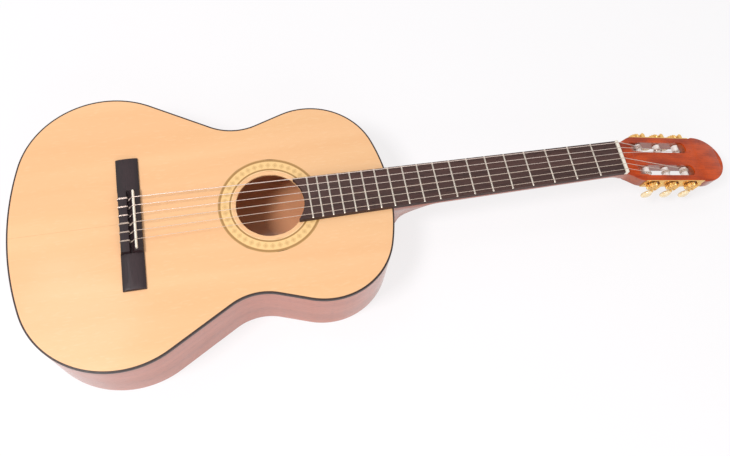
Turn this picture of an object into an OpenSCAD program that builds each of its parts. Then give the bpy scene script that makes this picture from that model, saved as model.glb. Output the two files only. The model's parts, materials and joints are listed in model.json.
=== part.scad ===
// Classical guitar lying on its flat back: hollow wooden body, glued neck, slotted head with geared tuners.
// X runs from the tail to the head, Y from the treble side to the bass side, Z up from the flat back.
// Lengths are worked out from the joint of neck and body (x = 0), then shifted so that the
// object's middle stands on the origin.

/* [Body outline] */
// Length of the body, from the tail to the neck joint
body_len = 484; // [470:1:490]
// Width of the lower bout
lower_w = 374; // [360:1:380]
// Width of the waist
waist_w = 236; // [226:1:244]
// Width of the upper bout
upper_w = 280; // [270:1:290]
// Distance from the neck joint to the middle of the waist
waist_back = 188; // [180:1:196]
// Radius of the long curve across the tail
tail_r = 390; // [340:1:440]
// Radius of the lower bout
lower_r = 117; // [110:1:125]
// Radius of the hollow of the waist
waist_r = 71; // [60:1:80]
// Radius of the upper bout
upper_r = 90; // [80:1:98]
// Radius of the curve across the shoulders
shoulder_r = 255; // [230:1:275]
// Depth of the body over both plates
body_d = 96; // [86:1:104]

/* [Plates and sides] */
// Thickness of the soundboard
top_t = 2.6; // [2:0.1:4]
// Thickness of the back
back_t = 3; // [2:0.1:4]
// Thickness of the bent sides
rib_t = 2.2; // [1.6:0.1:3]
// Width of the binding seen from above
bind_w = 2.2; // [1.2:0.1:3]
// Height of the binding on the side
bind_h = 5; // [4.2:0.1:8]
// Width of the lining strips inside the sides
lining_w = 6; // [4:0.5:9]
// Height of the lining strips
lining_h = 14; // [8:0.5:18]
// Half width of the neck block and of the tail block
block_half = 36; // [32:1:50]
// Length of the neck block along the body
neck_block_l = 42; // [30:1:60]
// Length of the tail block along the body
tail_block_l = 18; // [12:1:30]

/* [Bars and struts] */
// Width of the bars under the soundboard
bar_w = 8; // [5:0.5:12]
// Height of the bars under the soundboard
bar_h = 14; // [8:0.5:20]
// Wood left between the edge of the soundhole and each bar
bar_gap = 6; // [3:0.5:12]
// Width of a fan strut
strut_w = 6; // [4:0.5:9]
// Height of a fan strut
strut_h = 7; // [4:0.5:10]
// Length of a fan strut
strut_l = 205; // [160:1:215]
// Distance between neighbouring struts at their near end
strut_step = 22; // [16:1:30]
// Angle between neighbouring struts
strut_fan = 4; // [0:0.5:6]
// Height of the bars across the back
back_bar_h = 12; // [8:0.5:18]
// Thickness of the patch under the bridge
patch_t = 1.6; // [1:0.1:3]

/* [Soundhole and rosette] */
// Distance from the neck joint to the middle of the soundhole
hole_back = 159.5; // [154:0.5:165]
// Radius of the soundhole
hole_r = 44; // [38:0.1:45]
// Width of bare soundboard between the hole and the rosette
rosette_rim = 5.4; // [3:0.1:8]
// Width of the rosette
rosette_w = 17.5; // [10:0.1:20]
// Depth of the rosette's channel
rosette_t = 1; // [0.5:0.1:1.5]

/* [Neck] */
// Vibrating length of the strings, nut to saddle
scale_len = 650; // [640:1:660]
// Width of the neck at the nut
nut_w = 50; // [47:0.5:54]
// Width of the neck at the body
joint_w = 58; // [55:0.5:62]
// Depth of the neck's wood at the nut
shaft_nut_t = 15; // [13:0.5:18]
// Depth of the neck's wood at the body
shaft_joint_t = 17; // [15:0.5:22]
// Length of the heel along the neck
heel_l = 62; // [50:1:80]
// Length of the heel's foot along the neck
heel_foot_l = 15; // [10:1:22]
// Width of the heel's foot
heel_foot_w = 26; // [18:1:34]
// Thickness of the cap on the heel
heel_cap_t = 2.4; // [1.5:0.1:4]
// Width of the tenon glued into the neck block
tenon_w = 18; // [12:1:24]
// Length of the tenon
tenon_l = 22; // [14:1:28]

/* [Fingerboard] */
// Thickness of the fingerboard
board_t = 6.5; // [5:0.1:8]
// Length of the fingerboard beyond the neck joint
board_over = 126; // [118:0.5:127]
// Number of frets
fret_count = 19; // [12:1:19]
// Width of a fret's crown
crown_w = 2.4; // [1.8:0.1:3]
// Height of a fret's crown
crown_h = 1; // [0.7:0.1:1.2]
// Thickness of a fret's tang
tang_w = 0.6; // [0.4:0.1:0.8]
// Depth of a fret's tang
tang_h = 2; // [1:0.1:3]
// Thickness of the nut along the strings
nut_l = 5; // [4:0.5:7]
// Height of the nut above the fingerboard
nut_over = 2.4; // [1.8:0.1:3]

/* [Bridge] */
// Length of the bridge across the soundboard
bridge_w = 182; // [170:1:200]
// Width of the bridge along the strings
bridge_l = 28; // [26:0.5:32]
// Height of the bridge's tie block
bridge_h = 9; // [7.5:0.1:11]
// Height of the bridge's wings
wing_h = 4.6; // [3:0.1:6]
// Length of the raised middle, across the soundboard
bridge_mid_w = 86; // [80:1:92]
// Width of the tie block
tie_l = 11; // [9:0.5:13]
// Radius of the string holes in the tie block
tie_hole_r = 1.1; // [0.9:0.1:1.4]
// Length of the saddle
saddle_w = 80; // [70:1:80]
// Thickness of the saddle
saddle_t = 2.8; // [2:0.1:3.2]
// Height of the saddle above the bridge
saddle_over = 4; // [3:0.1:6]
// Depth of the saddle's slot
saddle_slot = 4; // [3:0.1:5]

/* [Head] */
// Backward tilt of the head, in degrees
head_tilt = 15; // [10:0.5:17]
// Length of the head from the nut to its tip
head_len = 187; // [183:1:200]
// Half width of the head along the tuner plates
head_half = 35; // [33:0.5:38]
// Half width of the head at its widest, under the crest
ear_half = 36.5; // [35.5:0.5:42]
// Length of the rounded crest
crest_l = 43; // [36:1:45]
// Thickness of the head, with its face plate
head_t = 18; // [17.5:0.5:22]
// Thickness of the face plate
plate_t = 2; // [1:0.1:3]
// Width of each slot
slot_w = 17; // [14:0.5:18]
// Width of the wood between the slots
web_w = 20; // [16:0.5:24]
// Length of a slot beyond its last roller
slot_room = 6; // [6:0.5:8]

/* [Tuners] */
// Distance from the nut to the first roller, along the head
roller_first = 44.5; // [42:0.5:45]
// Distance between neighbouring rollers
roller_step = 35; // [34:0.5:36]
// Radius of a roller
roller_r = 5; // [4:0.1:5.5]
// Radius of a roller's axle
axle_r = 2.5; // [2:0.1:3]
// Running clearance of shafts in their holes
run_gap = 0.05; // [0.02:0.01:0.09]
// Gap between a roller's ends and the walls of its slot
side_gap = 0.6; // [0.5:0.1:1]
// Length of an axle's inner end in the web
axle_in = 6; // [4:0.5:7]
// Teeth of a gear
gear_teeth = 14; // [12:1:18]
// Outer radius of a gear
gear_r = 8; // [7.4:0.1:8.1]
// Thickness of a gear
gear_t = 4.4; // [3:0.1:5]
// Depth of the gear's teeth
tooth_h = 1.6; // [1:0.1:2]
// Clearance between the gear's teeth and the worm's core
mesh_gap = 0.4; // [0.3:0.1:1.3]
// Radius of the worm's core
worm_core_r = 2.2; // [2:0.1:2.4]
// Radius of the worm's shaft
shaft_r = 1.6; // [1.3:0.1:1.8]
// Half length of the worm
worm_half = 5.6; // [5:0.1:6]
// Half width of the window in a side plate behind each worm
window_half = 3.4; // [2.6:0.1:3.6]
// Thickness of the side plates
side_t = 1.2; // [0.8:0.1:1.8]
// Height of the side plates
side_h = 17; // [16.4:0.1:17.6]
// Thickness of the lugs that hold the worms
lug_t = 2.4; // [1.6:0.1:3]
// Length of a button
button_l = 18.5; // [14:0.5:22]
// Width of a button at its end
button_w = 15; // [12:0.5:17]
// Thickness of a button
button_t = 6.4; // [5:0.1:8]

/* [Strings] */
// Distance from the outer strings to the nut's ends
nut_edge = 4; // [3.5:0.5:5]
// Spread of the strings at the bridge
bridge_span = 58; // [54:0.5:60]
// Height of the strings over the fingerboard at the nut
nut_lift = 1.4; // [1.2:0.1:1.6]
// Clearance between a string's coil and its roller
coil_gap = 0.3; // [0.3:0.05:0.4]
// Turns of each string on its roller
coil_turns = 4; // [3:1:5]

/* [Hidden] */
$fn = 48;
spruce = [0.93, 0.76, 0.55];
mahogany = [0.62, 0.38, 0.30];
rosewood = [0.27, 0.22, 0.22];
ivory = [0.94, 0.91, 0.82];
gilt = [0.85, 0.66, 0.30];
nylon = [0.92, 0.90, 0.86];
wound = [0.78, 0.70, 0.60];
black = [0.06, 0.05, 0.05];

// Radii of the strings, from the first to the sixth.
string_r = [0.36, 0.41, 0.51, 0.37, 0.44, 0.55];
// Position of each string's roller, 0 being nearest to the nut.
string_roller = [0, 1, 2, 2, 1, 0];
// Distance of each string's coil from the middle line.
string_coil = [20.5, 17.5, 15.5, 15.5, 17.5, 20.5];

// Distance between the axes of gear and worm.
worm_off = gear_r + mesh_gap + worm_core_r;
// Distance from a slot's end to the axis of its nearest roller.
slot_end = roller_r + slot_room;
// Spread of the strings at the nut.
nut_span = nut_w - 2 * nut_edge;

nut_x = scale_len / 2;
head_x = nut_x + nut_l;
saddle_x = -scale_len / 2 - 3;
head_up = 1;
tip_x = head_x + head_len * cos(head_tilt);
middle_x = (tip_x - body_len) / 2;
bind_d = min(bind_w, rib_t);
hole_x = -hole_back;
bridge_x = saddle_x + 7;
tie_x = bridge_x - bridge_l;
saddle_top = body_d + bridge_h + saddle_over;
far = 600;

tuner_names = ["worm", "button", "roller", "gear"];

// ---- Outline of the body ----
// Half of it is five tangent arcs, with a short straight flank on each side of the waist.
lower_half = lower_w / 2;
waist_half = waist_w / 2;
upper_half = upper_w / 2;
lower_y = lower_half - lower_r;
tail_x = -body_len + tail_r;
lower_x = tail_x - sqrt(pow(tail_r - lower_r, 2) - lower_y * lower_y);
upper_y = upper_half - upper_r;
shoulder_x = -shoulder_r;
upper_x = shoulder_x + sqrt(pow(shoulder_r - upper_r, 2) - upper_y * upper_y);
waist_x = -waist_back;
waist_y = waist_half + waist_r;
lower_gap = norm([waist_x - lower_x, waist_y - lower_y]);
upper_gap = norm([waist_x - upper_x, waist_y - upper_y]);
tail_a = atan2(lower_y, lower_x - tail_x);
lower_a = atan2(waist_y - lower_y, waist_x - lower_x) + acos((lower_r + waist_r) / lower_gap);
upper_a = atan2(waist_y - upper_y, waist_x - upper_x) - acos((upper_r + waist_r) / upper_gap);
shoulder_a = atan2(upper_y, upper_x - shoulder_x);
chord = 8;

// Points of an arc moved inwards by t, in as many steps as the nominal arc has chords.
function arc(c, r, t, a0, a1, first) =
    let (steps = max(2, ceil(abs(a1 - a0) * PI / 180 * r / chord)))
    [for (k = [first : steps]) let (a = a0 + (a1 - a0) * k / steps)
        [c[0] + (r + t) * cos(a), c[1] + (r + t) * sin(a)]];

function half_outline(t) = concat(
    arc([tail_x, 0], tail_r, -t, 180, tail_a, 0),
    arc([lower_x, lower_y], lower_r, -t, tail_a, lower_a, 1),
    arc([waist_x, waist_y], waist_r, t, lower_a + 180, upper_a + 180, 0),
    arc([upper_x, upper_y], upper_r, -t, upper_a, shoulder_a, 0),
    arc([shoulder_x, 0], shoulder_r, -t, shoulder_a, 0, 1));

function outline(t) =
    let (h = half_outline(t), n = len(h))
    concat(h, [for (k = [n - 2 : -1 : 1]) [h[k][0], -h[k][1]]]);

module plan(t) {
    polygon(outline(t));
}

module band(t0, t1) {
    difference() {
        plan(t0);
        plan(t1);
    }
}

// A slab of the plan, from z0 to z1.
module slab(t, z0, z1) {
    translate([0, 0, z0])
        linear_extrude(z1 - z0)
            plan(t);
}

module in_frame() {
    translate([-middle_x, 0, 0])
        children();
}

// A profile drawn in x and z, carried across the middle line over the width w.
module across(w) {
    rotate([90, 0, 0])
        linear_extrude(w, center = true)
            children();
}

// A profile drawn in y and z, carried along x.
module along(x0, x1) {
    translate([x0, 0, 0])
        rotate([90, 0, 90])
            linear_extrude(x1 - x0)
                children();
}

// ---- Body ----
module soundboard() {
    color(spruce) in_frame() difference() {
        slab(bind_d, body_d - top_t, body_d);
        translate([hole_x, 0, body_d - top_t - 1])
            cylinder(r = hole_r, h = top_t + 2);
        rosette_ring(rosette_t + 1);
    }
}

module rosette_ring(h) {
    inner = hole_r + rosette_rim;
    translate([hole_x, 0, body_d - rosette_t])
        difference() {
            cylinder(r = inner + rosette_w, h = h);
            translate([0, 0, -1])
                cylinder(r = inner, h = h + 2);
        }
}

module rosette() {
    color([0.75, 0.6, 0.4]) in_frame() rosette_ring(rosette_t);
}

module back_plate() {
    color(mahogany) in_frame() slab(0, 0, back_t);
}

module rib(side) {
    low = side > 0 ? 0 : -far;
    color(mahogany) in_frame() difference() {
        translate([0, 0, back_t])
            linear_extrude(body_d - bind_h - back_t)
                intersection() {
                    band(0, rib_t);
                    translate([-far, low])
                        square([2 * far, far]);
                }
        tenon();
    }
}

module rib_bass() {
    rib(1);
}

module rib_treble() {
    rib(-1);
}

// Black strip set into the edge of soundboard and sides.
module binding() {
    color(black) in_frame() translate([0, 0, body_d - bind_h])
        linear_extrude(bind_h)
            band(0, bind_d);
}

module lining(z) {
    color(spruce) in_frame() difference() {
        translate([0, 0, z])
            linear_extrude(lining_h)
                band(rib_t, rib_t + lining_w);
        translate([-neck_block_l, -block_half, 0])
            cube([neck_block_l + 1, 2 * block_half, body_d]);
        translate([-body_len - 1, -block_half, 0])
            cube([tail_block_l + 1, 2 * block_half, body_d]);
    }
}

module top_linings() {
    lining(body_d - top_t - lining_h);
}

module back_linings() {
    lining(back_t);
}

module inner_block(x0, l) {
    color(mahogany) in_frame() difference() {
        intersection() {
            slab(rib_t, back_t, body_d - top_t);
            translate([x0, -block_half, 0])
                cube([l, 2 * block_half, body_d]);
        }
        tenon();
    }
}

module neck_block() {
    inner_block(-neck_block_l, neck_block_l);
}

module tail_block() {
    inner_block(-body_len, tail_block_l);
}

// A bar across the body, from side to side between the linings.
module cross_bar(x0, z0, h) {
    intersection() {
        slab(rib_t + lining_w, z0, z0 + h);
        translate([x0, -far, 0])
            cube([bar_w, 2 * far, body_d]);
    }
}

lower_bar_x = hole_x - hole_r - bar_gap - bar_w;
upper_bar_x = hole_x + hole_r + bar_gap;

module upper_bar() {
    color(spruce) in_frame() cross_bar(upper_bar_x, body_d - top_t - bar_h, bar_h);
}

module lower_bar() {
    color(spruce) in_frame() cross_bar(lower_bar_x, body_d - top_t - bar_h, bar_h);
}

module fan_struts() {
    color(spruce) in_frame() difference() {
        for (k = [-2 : 2])
            translate([lower_bar_x - 6, k * strut_step, body_d - top_t - strut_h])
                rotate([0, 0, 180 - k * strut_fan])
                    translate([0, -strut_w / 2, 0])
                        cube([strut_l, strut_w, strut_h]);
        patch(1);
    }
}

module patch(h) {
    translate([tie_x - 2, -bridge_w / 2, body_d - top_t - patch_t])
        cube([bridge_l + 4, bridge_w, patch_t + h]);
}

module bridge_patch() {
    color(spruce) in_frame() patch(0);
}

module back_bars() {
    color(spruce) in_frame()
        for (x = [-80, -215, -350])
            cross_bar(x, back_t, back_bar_h);
}

// ---- Bridge ----
// Profile of the middle: low front under the saddle, a channel, then the tie block.
ramp_x = tie_x + tie_l + 1.5;
ramp_z = 3;
module bridge() {
    color(rosewood) in_frame() difference() {
        union() {
            across(bridge_mid_w)
                polygon([
                    [tie_x + 1.5, body_d], [tie_x + 1.5, body_d + bridge_h - 1],
                    [tie_x + 2.5, body_d + bridge_h], [ramp_x, body_d + bridge_h],
                    [ramp_x, body_d + ramp_z], [ramp_x + 3, body_d + ramp_z],
                    [saddle_x - saddle_t, body_d + bridge_h], [saddle_x + saddle_t, body_d + bridge_h],
                    [bridge_x, body_d + wing_h], [bridge_x, body_d]]);
            across(bridge_w)
                polygon([
                    [tie_x, body_d], [tie_x, body_d + wing_h / 2], [tie_x + 2, body_d + wing_h * 0.8],
                    [tie_x + 6, body_d + ramp_z], [bridge_x - 5, body_d + ramp_z],
                    [bridge_x - 2, body_d + ramp_z], [bridge_x, body_d + wing_h / 2], [bridge_x, body_d]]);
            for (s = [-1, 1])
                wing(s);
        }
        translate([saddle_x - saddle_t / 2, -saddle_w / 2, body_d + bridge_h - saddle_slot])
            cube([saddle_t, saddle_w, bridge_h]);
        for (n = [1 : 6])
            translate([tie_x - 1, bridge_y(n), body_d + tie_hole_z])
                rotate([0, 90, 0])
                    cylinder(r = tie_hole_r, h = tie_l + 6);
    }
}

tie_hole_z = 4.4;

// One wing: a low round-backed bar beside the raised middle.
module wing(s) {
    l = (bridge_w - bridge_mid_w) / 2;
    arch_r = (pow(bridge_l / 2, 2) + pow(wing_h - 2, 2)) / (2 * (wing_h - 2));
    translate([0, s * (bridge_mid_w + l) / 2, 0])
        across(l)
            intersection() {
                translate([tie_x, body_d])
                    square([bridge_l, wing_h]);
                translate([tie_x + bridge_l / 2, body_d + wing_h - arch_r])
                    circle(arch_r, $fn = 180);
            }
}

module saddle() {
    h = saddle_slot + saddle_over;
    color(ivory) in_frame()
        translate([0, 0, body_d + bridge_h - saddle_slot])
            across(saddle_w)
                union() {
                    translate([saddle_x - saddle_t / 2, 0])
                        square([saddle_t, h - saddle_t / 2]);
                    translate([saddle_x, h - saddle_t / 2])
                        circle(saddle_t / 2);
                }
}

// ---- Neck ----
function neck_half(x) = (joint_w + (nut_w - joint_w) * x / nut_x) / 2;
function board_half(x) = neck_half(x);

// Section of the shaft: flat above, full and round below.
function shaft_section(w, t) =
    [for (k = [0 : 24]) let (a = 180 + k * 7.5)
        [w / 2 * sign(cos(a)) * pow(abs(cos(a)), 0.9), -t * pow(abs(sin(a)), 0.8)]];

module shaft_end(x, t) {
    translate([0, 0, body_d])
        along(x, x + 0.5)
            polygon(shaft_section(2 * neck_half(x), t));
}

module in_head() {
    translate([head_x, 0, body_d + head_up])
        rotate([0, head_tilt, 0])
            children();
}

// Half outline of the head from the nut to the tip: neck, shoulder, straight side, ear and crest.
function shoulder_curve(a) = 1 - cos(180 * a);
neck_end_half = neck_half(head_x);
ear_at = head_len - crest_l;
plate_from = roller_first - 14;
plate_to = roller_first + 2 * roller_step + worm_off + 12.5;
function head_half_outline() = concat(
    [for (k = [0 : 8]) let (u = k / 8)
        [plate_from * u, neck_end_half + (head_half - neck_end_half) * shoulder_curve(u) / 2]],
    [for (k = [0 : 6]) let (u = k / 6)
        [plate_to + (ear_at - plate_to) * u, head_half + (ear_half - head_half) * shoulder_curve(u) / 2]],
    [for (k = [1 : 16]) let (a = 90 - k * 90 / 16)
        [ear_at + crest_l * cos(a), ear_half * sin(a)]]);

module head_plan() {
    h = head_half_outline();
    n = len(h);
    polygon(concat(h, [for (k = [n - 2 : -1 : 0]) [h[k][0], -h[k][1]]]));
}

slot_y = (web_w + slot_w) / 2;
slot_from = roller_first - slot_end;
slot_to = roller_first + 2 * roller_step + slot_end;
module slots_plan() {
    r = slot_w / 2 - 0.01;
    for (s = [-1, 1])
        translate([0, s * slot_y]) {
            translate([slot_from + r, -slot_w / 2])
                square([slot_to - slot_from - 2 * r, slot_w]);
            for (x = [slot_from + r, slot_to - r])
                translate([x, 0])
                    circle(r);
        }
}

// Ramp that lets the strings dip from the face into the slots.
module slot_ramps() {
    for (s = [-1, 1])
        translate([0, s * slot_y, 0])
            across(slot_w - 3)
                polygon([[slot_from - 12, 0.5], [slot_from + 5, 0.5], [slot_from + 5, -7]]);
}

axis_z = -head_t / 2;
function roller_a(k) = roller_first + k * roller_step;

module head_cuts() {
    translate([0, 0, -head_t - 1])
        linear_extrude(head_t + 2)
            slots_plan();
    slot_ramps();
    for (k = [0 : 2], s = [-1, 1])
        translate([roller_a(k), 0, axis_z])
            rotate([s * -90, 0, 0])
                translate([0, 0, web_w / 2 - axle_in - 0.3])
                    cylinder(r = axle_r + run_gap, h = head_half);
    for (x = screw_places, s = [-1, 1])
        translate([x, 0, axis_z])
            rotate([s * -90, 0, 0])
                translate([0, 0, head_half - screw_l])
                    cylinder(r = screw_r, h = screw_l + 1);
}

module heel() {
    foot_z = heel_cap_t + 0.6;
    reach = heel_l - heel_foot_l;
    drop = body_d - shaft_joint_t - foot_z + 3;
    flare = (joint_w - heel_foot_w) / 2;
    intersection() {
        across(joint_w)
            polygon(concat(
                [[-6, body_d - 6], [-6, foot_z], [heel_foot_l, foot_z]],
                [for (k = [1 : 14]) let (a = 90 * k / 14)
                    [heel_foot_l + reach * (1 - cos(a)), foot_z + drop * sin(a)]],
                [[heel_l, body_d - 6]]));
        along(-6, heel_l)
            polygon(concat(
                [for (k = [0 : 12]) let (u = k / 12)
                    [heel_foot_w / 2 + flare * pow(u, 1.6), foot_z + (body_d - 6 - foot_z) * u]],
                [for (k = [12 : -1 : 0]) let (u = k / 12)
                    [-heel_foot_w / 2 - flare * pow(u, 1.6), foot_z + (body_d - 6 - foot_z) * u]]));
    }
}

module tenon() {
    top = body_d - bind_h - 4;
    low = body_d * 0.3;
    translate([-tenon_l, -tenon_w / 2, low])
        cube([tenon_l + 3, tenon_w, top - low]);
}

module neck() {
    color(mahogany) in_frame() {
        difference() {
            union() {
                heel();
                hull() {
                    shaft_end(-6, shaft_joint_t);
                    shaft_end(head_x - 0.5, shaft_nut_t);
                }
            }
            slab(0, -1, body_d + 1);
            in_head()
                translate([0, -far, -plate_t])
                    cube([far, 2 * far, far]);
        }
        tenon();
        difference() {
            union() {
                throat();
                in_head()
                    translate([0, 0, -head_t])
                        linear_extrude(head_t - plate_t)
                            head_plan();
            }
            in_head()
                head_cuts();
        }
    }
}

// Thickening of the neck's wood under the nut, where the head leans back.
throat_l = 30;
module throat() {
    back_x = head_x + 8 * cos(head_tilt) - head_t * sin(head_tilt);
    back_z = body_d + head_up - 8 * sin(head_tilt) - head_t * cos(head_tilt);
    intersection() {
        across(2 * head_half)
            polygon([
                [head_x - throat_l, body_d - 4], [head_x + 1, body_d - 4],
                [back_x, back_z], [head_x - throat_l, body_d - shaft_nut_t + 0.7]]);
        along(head_x - throat_l - 1, head_x + 2)
            polygon(shaft_section(2 * neck_end_half - 1, body_d - back_z + 1));
    }
}

module heel_cap() {
    color(rosewood) in_frame() difference() {
        translate([-4, -heel_foot_w / 2, 0.6])
            cube([heel_foot_l + 4, heel_foot_w, heel_cap_t]);
        slab(0, -1, body_d);
    }
}

module head_plate() {
    color([0.72, 0.30, 0.14]) in_frame() in_head() difference() {
        translate([0, 0, -plate_t])
            linear_extrude(plate_t)
                head_plan();
        translate([0, 0, -plate_t - 1])
            linear_extrude(plate_t + 2)
                slots_plan();
        slot_ramps();
    }
}

// ---- Fingerboard, frets and nut ----
function fret_x(n) = nut_x - scale_len * (1 - pow(2, -n / 12));

module fingerboard() {
    color(rosewood) in_frame() difference() {
        translate([0, 0, body_d])
            linear_extrude(board_t)
                polygon([
                    [nut_x, board_half(nut_x)], [-board_over, board_half(-board_over)],
                    [-board_over, -board_half(-board_over)], [nut_x, -board_half(nut_x)]]);
        translate([hole_x, 0, body_d - 1])
            cylinder(r = hole_r, h = board_t + 2);
        for (n = [1 : fret_count])
            translate([fret_x(n) - tang_w / 2, -far, body_d + board_t - tang_h])
                cube([tang_w, 2 * far, tang_h + 1]);
    }
}

module frets() {
    crown_r = (pow(crown_w / 2, 2) + crown_h * crown_h) / (2 * crown_h);
    color(gilt) in_frame()
        for (n = [1 : fret_count])
            translate([fret_x(n), 0, body_d + board_t])
                across(2 * board_half(fret_x(n)) - 0.4)
                    union() {
                        intersection() {
                            translate([0, crown_h - crown_r])
                                circle(crown_r);
                            translate([-crown_w / 2, 0])
                                square([crown_w, crown_h]);
                        }
                        translate([-tang_w / 2, -tang_h])
                            square([tang_w, tang_h + 0.1]);
                    }
}

module nut() {
    half = board_half(head_x);
    color(ivory) in_frame() difference() {
        translate([nut_x, -half, body_d])
            cube([nut_l, 2 * half, board_t + nut_over]);
        for (n = [1 : 6])
            translate([nut_x - 1, nut_y(n), nut_z(n)])
                rotate([0, 90, 0])
                    cylinder(r = string_r[n - 1] + 0.05, h = nut_l + 2);
        for (n = [1 : 6])
            translate([nut_x - 1, nut_y(n) - string_r[n - 1] - 0.05, nut_z(n)])
                cube([nut_l + 2, 2 * string_r[n - 1] + 0.1, nut_over + 1]);
        in_head()
            translate([0, -far, -plate_t])
                cube([far, 2 * far, plate_t]);
    }
}

// ---- Strings ----
function side_of(n) = n < 4 ? -1 : 1;
function nut_y(n) = (n - 3.5) / 5 * nut_span;
function bridge_y(n) = (n - 3.5) / 5 * bridge_span;
function nut_z(n) = body_d + board_t + nut_lift + string_r[n - 1];

// Middle of a roller, in x and z, before the shift to the frame's middle.
function roller_x(k) = head_x + roller_a(k) * cos(head_tilt) + axis_z * sin(head_tilt);
function roller_z(k) = body_d + head_up - roller_a(k) * sin(head_tilt) + axis_z * cos(head_tilt);

// Route of a string: over the tie block, through its hole, over saddle and nut, onto the coil.
function route(n) =
    let (
        r = string_r[n - 1],
        yb = bridge_y(n),
        aside = yb + 2 * r + 0.3,
        top = body_d + bridge_h + r + 0.05,
        mid = body_d + tie_hole_z,
        bend = 0.5 * r + 0.1,
        rear = tie_x + 1.5 - r - 0.1,
        front = ramp_x + r + 0.1,
        k = string_roller[n - 1],
        coil = roller_r + coil_gap + r,
        from = [head_x, nut_z(n)],
        to = [roller_x(k), roller_z(k)],
        gap = norm(to - from),
        dir = atan2(to[1] - from[1], to[0] - from[0]) + asin(coil / gap))
    [
        [front, aside, body_d + bridge_h - 2.5],
        [front, aside, top - bend],
        [front - bend, aside, top],
        [rear + bend, aside, top],
        [rear, aside - r, top - bend],
        [rear, yb, mid + 1],
        [rear + 0.9, yb, mid],
        [front + 0.3, yb, mid],
        [saddle_x - 1, yb, saddle_top + r],
        [saddle_x + 0.6, yb, saddle_top + r],
        [nut_x, nut_y(n), nut_z(n)],
        [head_x, nut_y(n), nut_z(n)],
        [to[0] - coil * sin(dir), side_of(n) * string_coil[n - 1], to[1] + coil * cos(dir)]
    ];

// An eight-sided tube along the points p, each ring square to the bend.
function unit(v) = v / norm(v);
function heading(p, k) =
    k == 0 ? unit(p[1] - p[0])
    : k == len(p) - 1 ? unit(p[k] - p[k - 1])
    : unit(unit(p[k] - p[k - 1]) + unit(p[k + 1] - p[k]));

module tube(p, r) {
    sides = 8;
    rings = len(p);
    points = [for (k = [0 : rings - 1], j = [0 : sides - 1])
        let (t = heading(p, k), u = unit(cross([0, 1, 0], t)), v = cross(t, u), a = 360 * j / sides)
        p[k] + r * (cos(a) * u + sin(a) * v)];
    faces = concat(
        [[for (j = [0 : sides - 1]) j]],
        [for (k = [0 : rings - 2], j = [0 : sides - 1]) let (q = (j + 1) % sides)
            [k * sides + j, (k + 1) * sides + q, k * sides + q]],
        [for (k = [0 : rings - 2], j = [0 : sides - 1]) let (q = (j + 1) % sides)
            [k * sides + j, (k + 1) * sides + j, (k + 1) * sides + q]],
        [[for (j = [sides - 1 : -1 : 0]) (rings - 1) * sides + j]]);
    polyhedron(points, faces);
}

module string_node(n) {
    r = string_r[n - 1];
    k = string_roller[n - 1];
    wide = coil_turns * 2 * r;
    color(n < 4 ? nylon : wound) in_frame() {
        tube(route(n), r);
        translate([roller_x(k), side_of(n) * string_coil[n - 1], roller_z(k)])
            rotate([90, 0, 0])
                rotate_extrude()
                    translate([roller_r + coil_gap, -wide / 2])
                        square([2 * r, wide]);
    }
}

// ---- Tuners ----
// Tuners 1 to 3 stand on the treble side and 4 to 6 on the bass side, each with its string.
plate_out = head_half + side_t;
gear_gap = 1.2;
gear_y = plate_out + gear_gap + gear_t / 2;
lug_in = worm_half + 0.2;
screw_r = 1.2;
screw_l = 7;
screw_head_r = 2.3;
screw_places = [plate_from + 3, for (k = [0 : 2]) roller_a(k) + worm_off + 10];

// Places a tuner's pieces: origin on the roller's axis in the middle plane of the head,
// with y pointing outwards on both sides.
module at_tuner(n) {
    s = side_of(n);
    in_frame() in_head()
        translate([roller_a(string_roller[n - 1]), 0, axis_z])
            scale([1, s, 1])
                children();
}

module y_cylinder(r, y0, y1) {
    translate([0, y0, 0])
        rotate([-90, 0, 0])
            cylinder(r = r, h = y1 - y0);
}

module side_plate(s) {
    color(gilt) in_frame() in_head() scale([1, s, 1]) difference() {
        union() {
            translate([plate_from, head_half, axis_z - side_h / 2])
                cube([plate_to - plate_from, side_t, side_h]);
            for (k = [0 : 2], up = [-1, 1])
                lug(k, up);
        }
        for (k = [0 : 2]) {
            translate([roller_a(k), 0, axis_z])
                y_cylinder(axle_r + run_gap, head_half - 1, plate_out + 1);
            translate([roller_a(k) + worm_off, gear_y, axis_z - head_t])
                cylinder(r = shaft_r + run_gap, h = 2 * head_t);
            translate([roller_a(k) + worm_off - window_half, head_half - 1, axis_z - lug_in])
                cube([2 * window_half, side_t + 2, 2 * lug_in]);
        }
        for (x = screw_places)
            translate([x, 0, axis_z])
                y_cylinder(screw_r, head_half - 1, plate_out + 1);
    }
}

module lug(k, up) {
    w = 2 * min(shaft_r + 1.6, gear_y - head_half);
    translate([roller_a(k) + worm_off, 0, axis_z + up * (lug_in + lug_t / 2)]) {
        translate([-w / 2, head_half, -lug_t / 2])
            cube([w, gear_y - head_half, lug_t]);
        translate([0, gear_y, 0])
            cylinder(r = w / 2, h = lug_t, center = true);
    }
}

module side_plate_bass() {
    side_plate(1);
}

module side_plate_treble() {
    side_plate(-1);
}

module plate_screws() {
    color(gilt) in_frame() in_head()
        for (x = screw_places, s = [-1, 1])
            translate([x, 0, axis_z])
                scale([1, s, 1])
                    difference() {
                        union() {
                            y_cylinder(screw_r, head_half - screw_l, plate_out);
                            y_cylinder(screw_head_r, plate_out, plate_out + 1);
                        }
                        translate([-screw_head_r, plate_out + 0.5, -0.3])
                            cube([2 * screw_head_r, 1, 0.6]);
                    }
}

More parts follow.
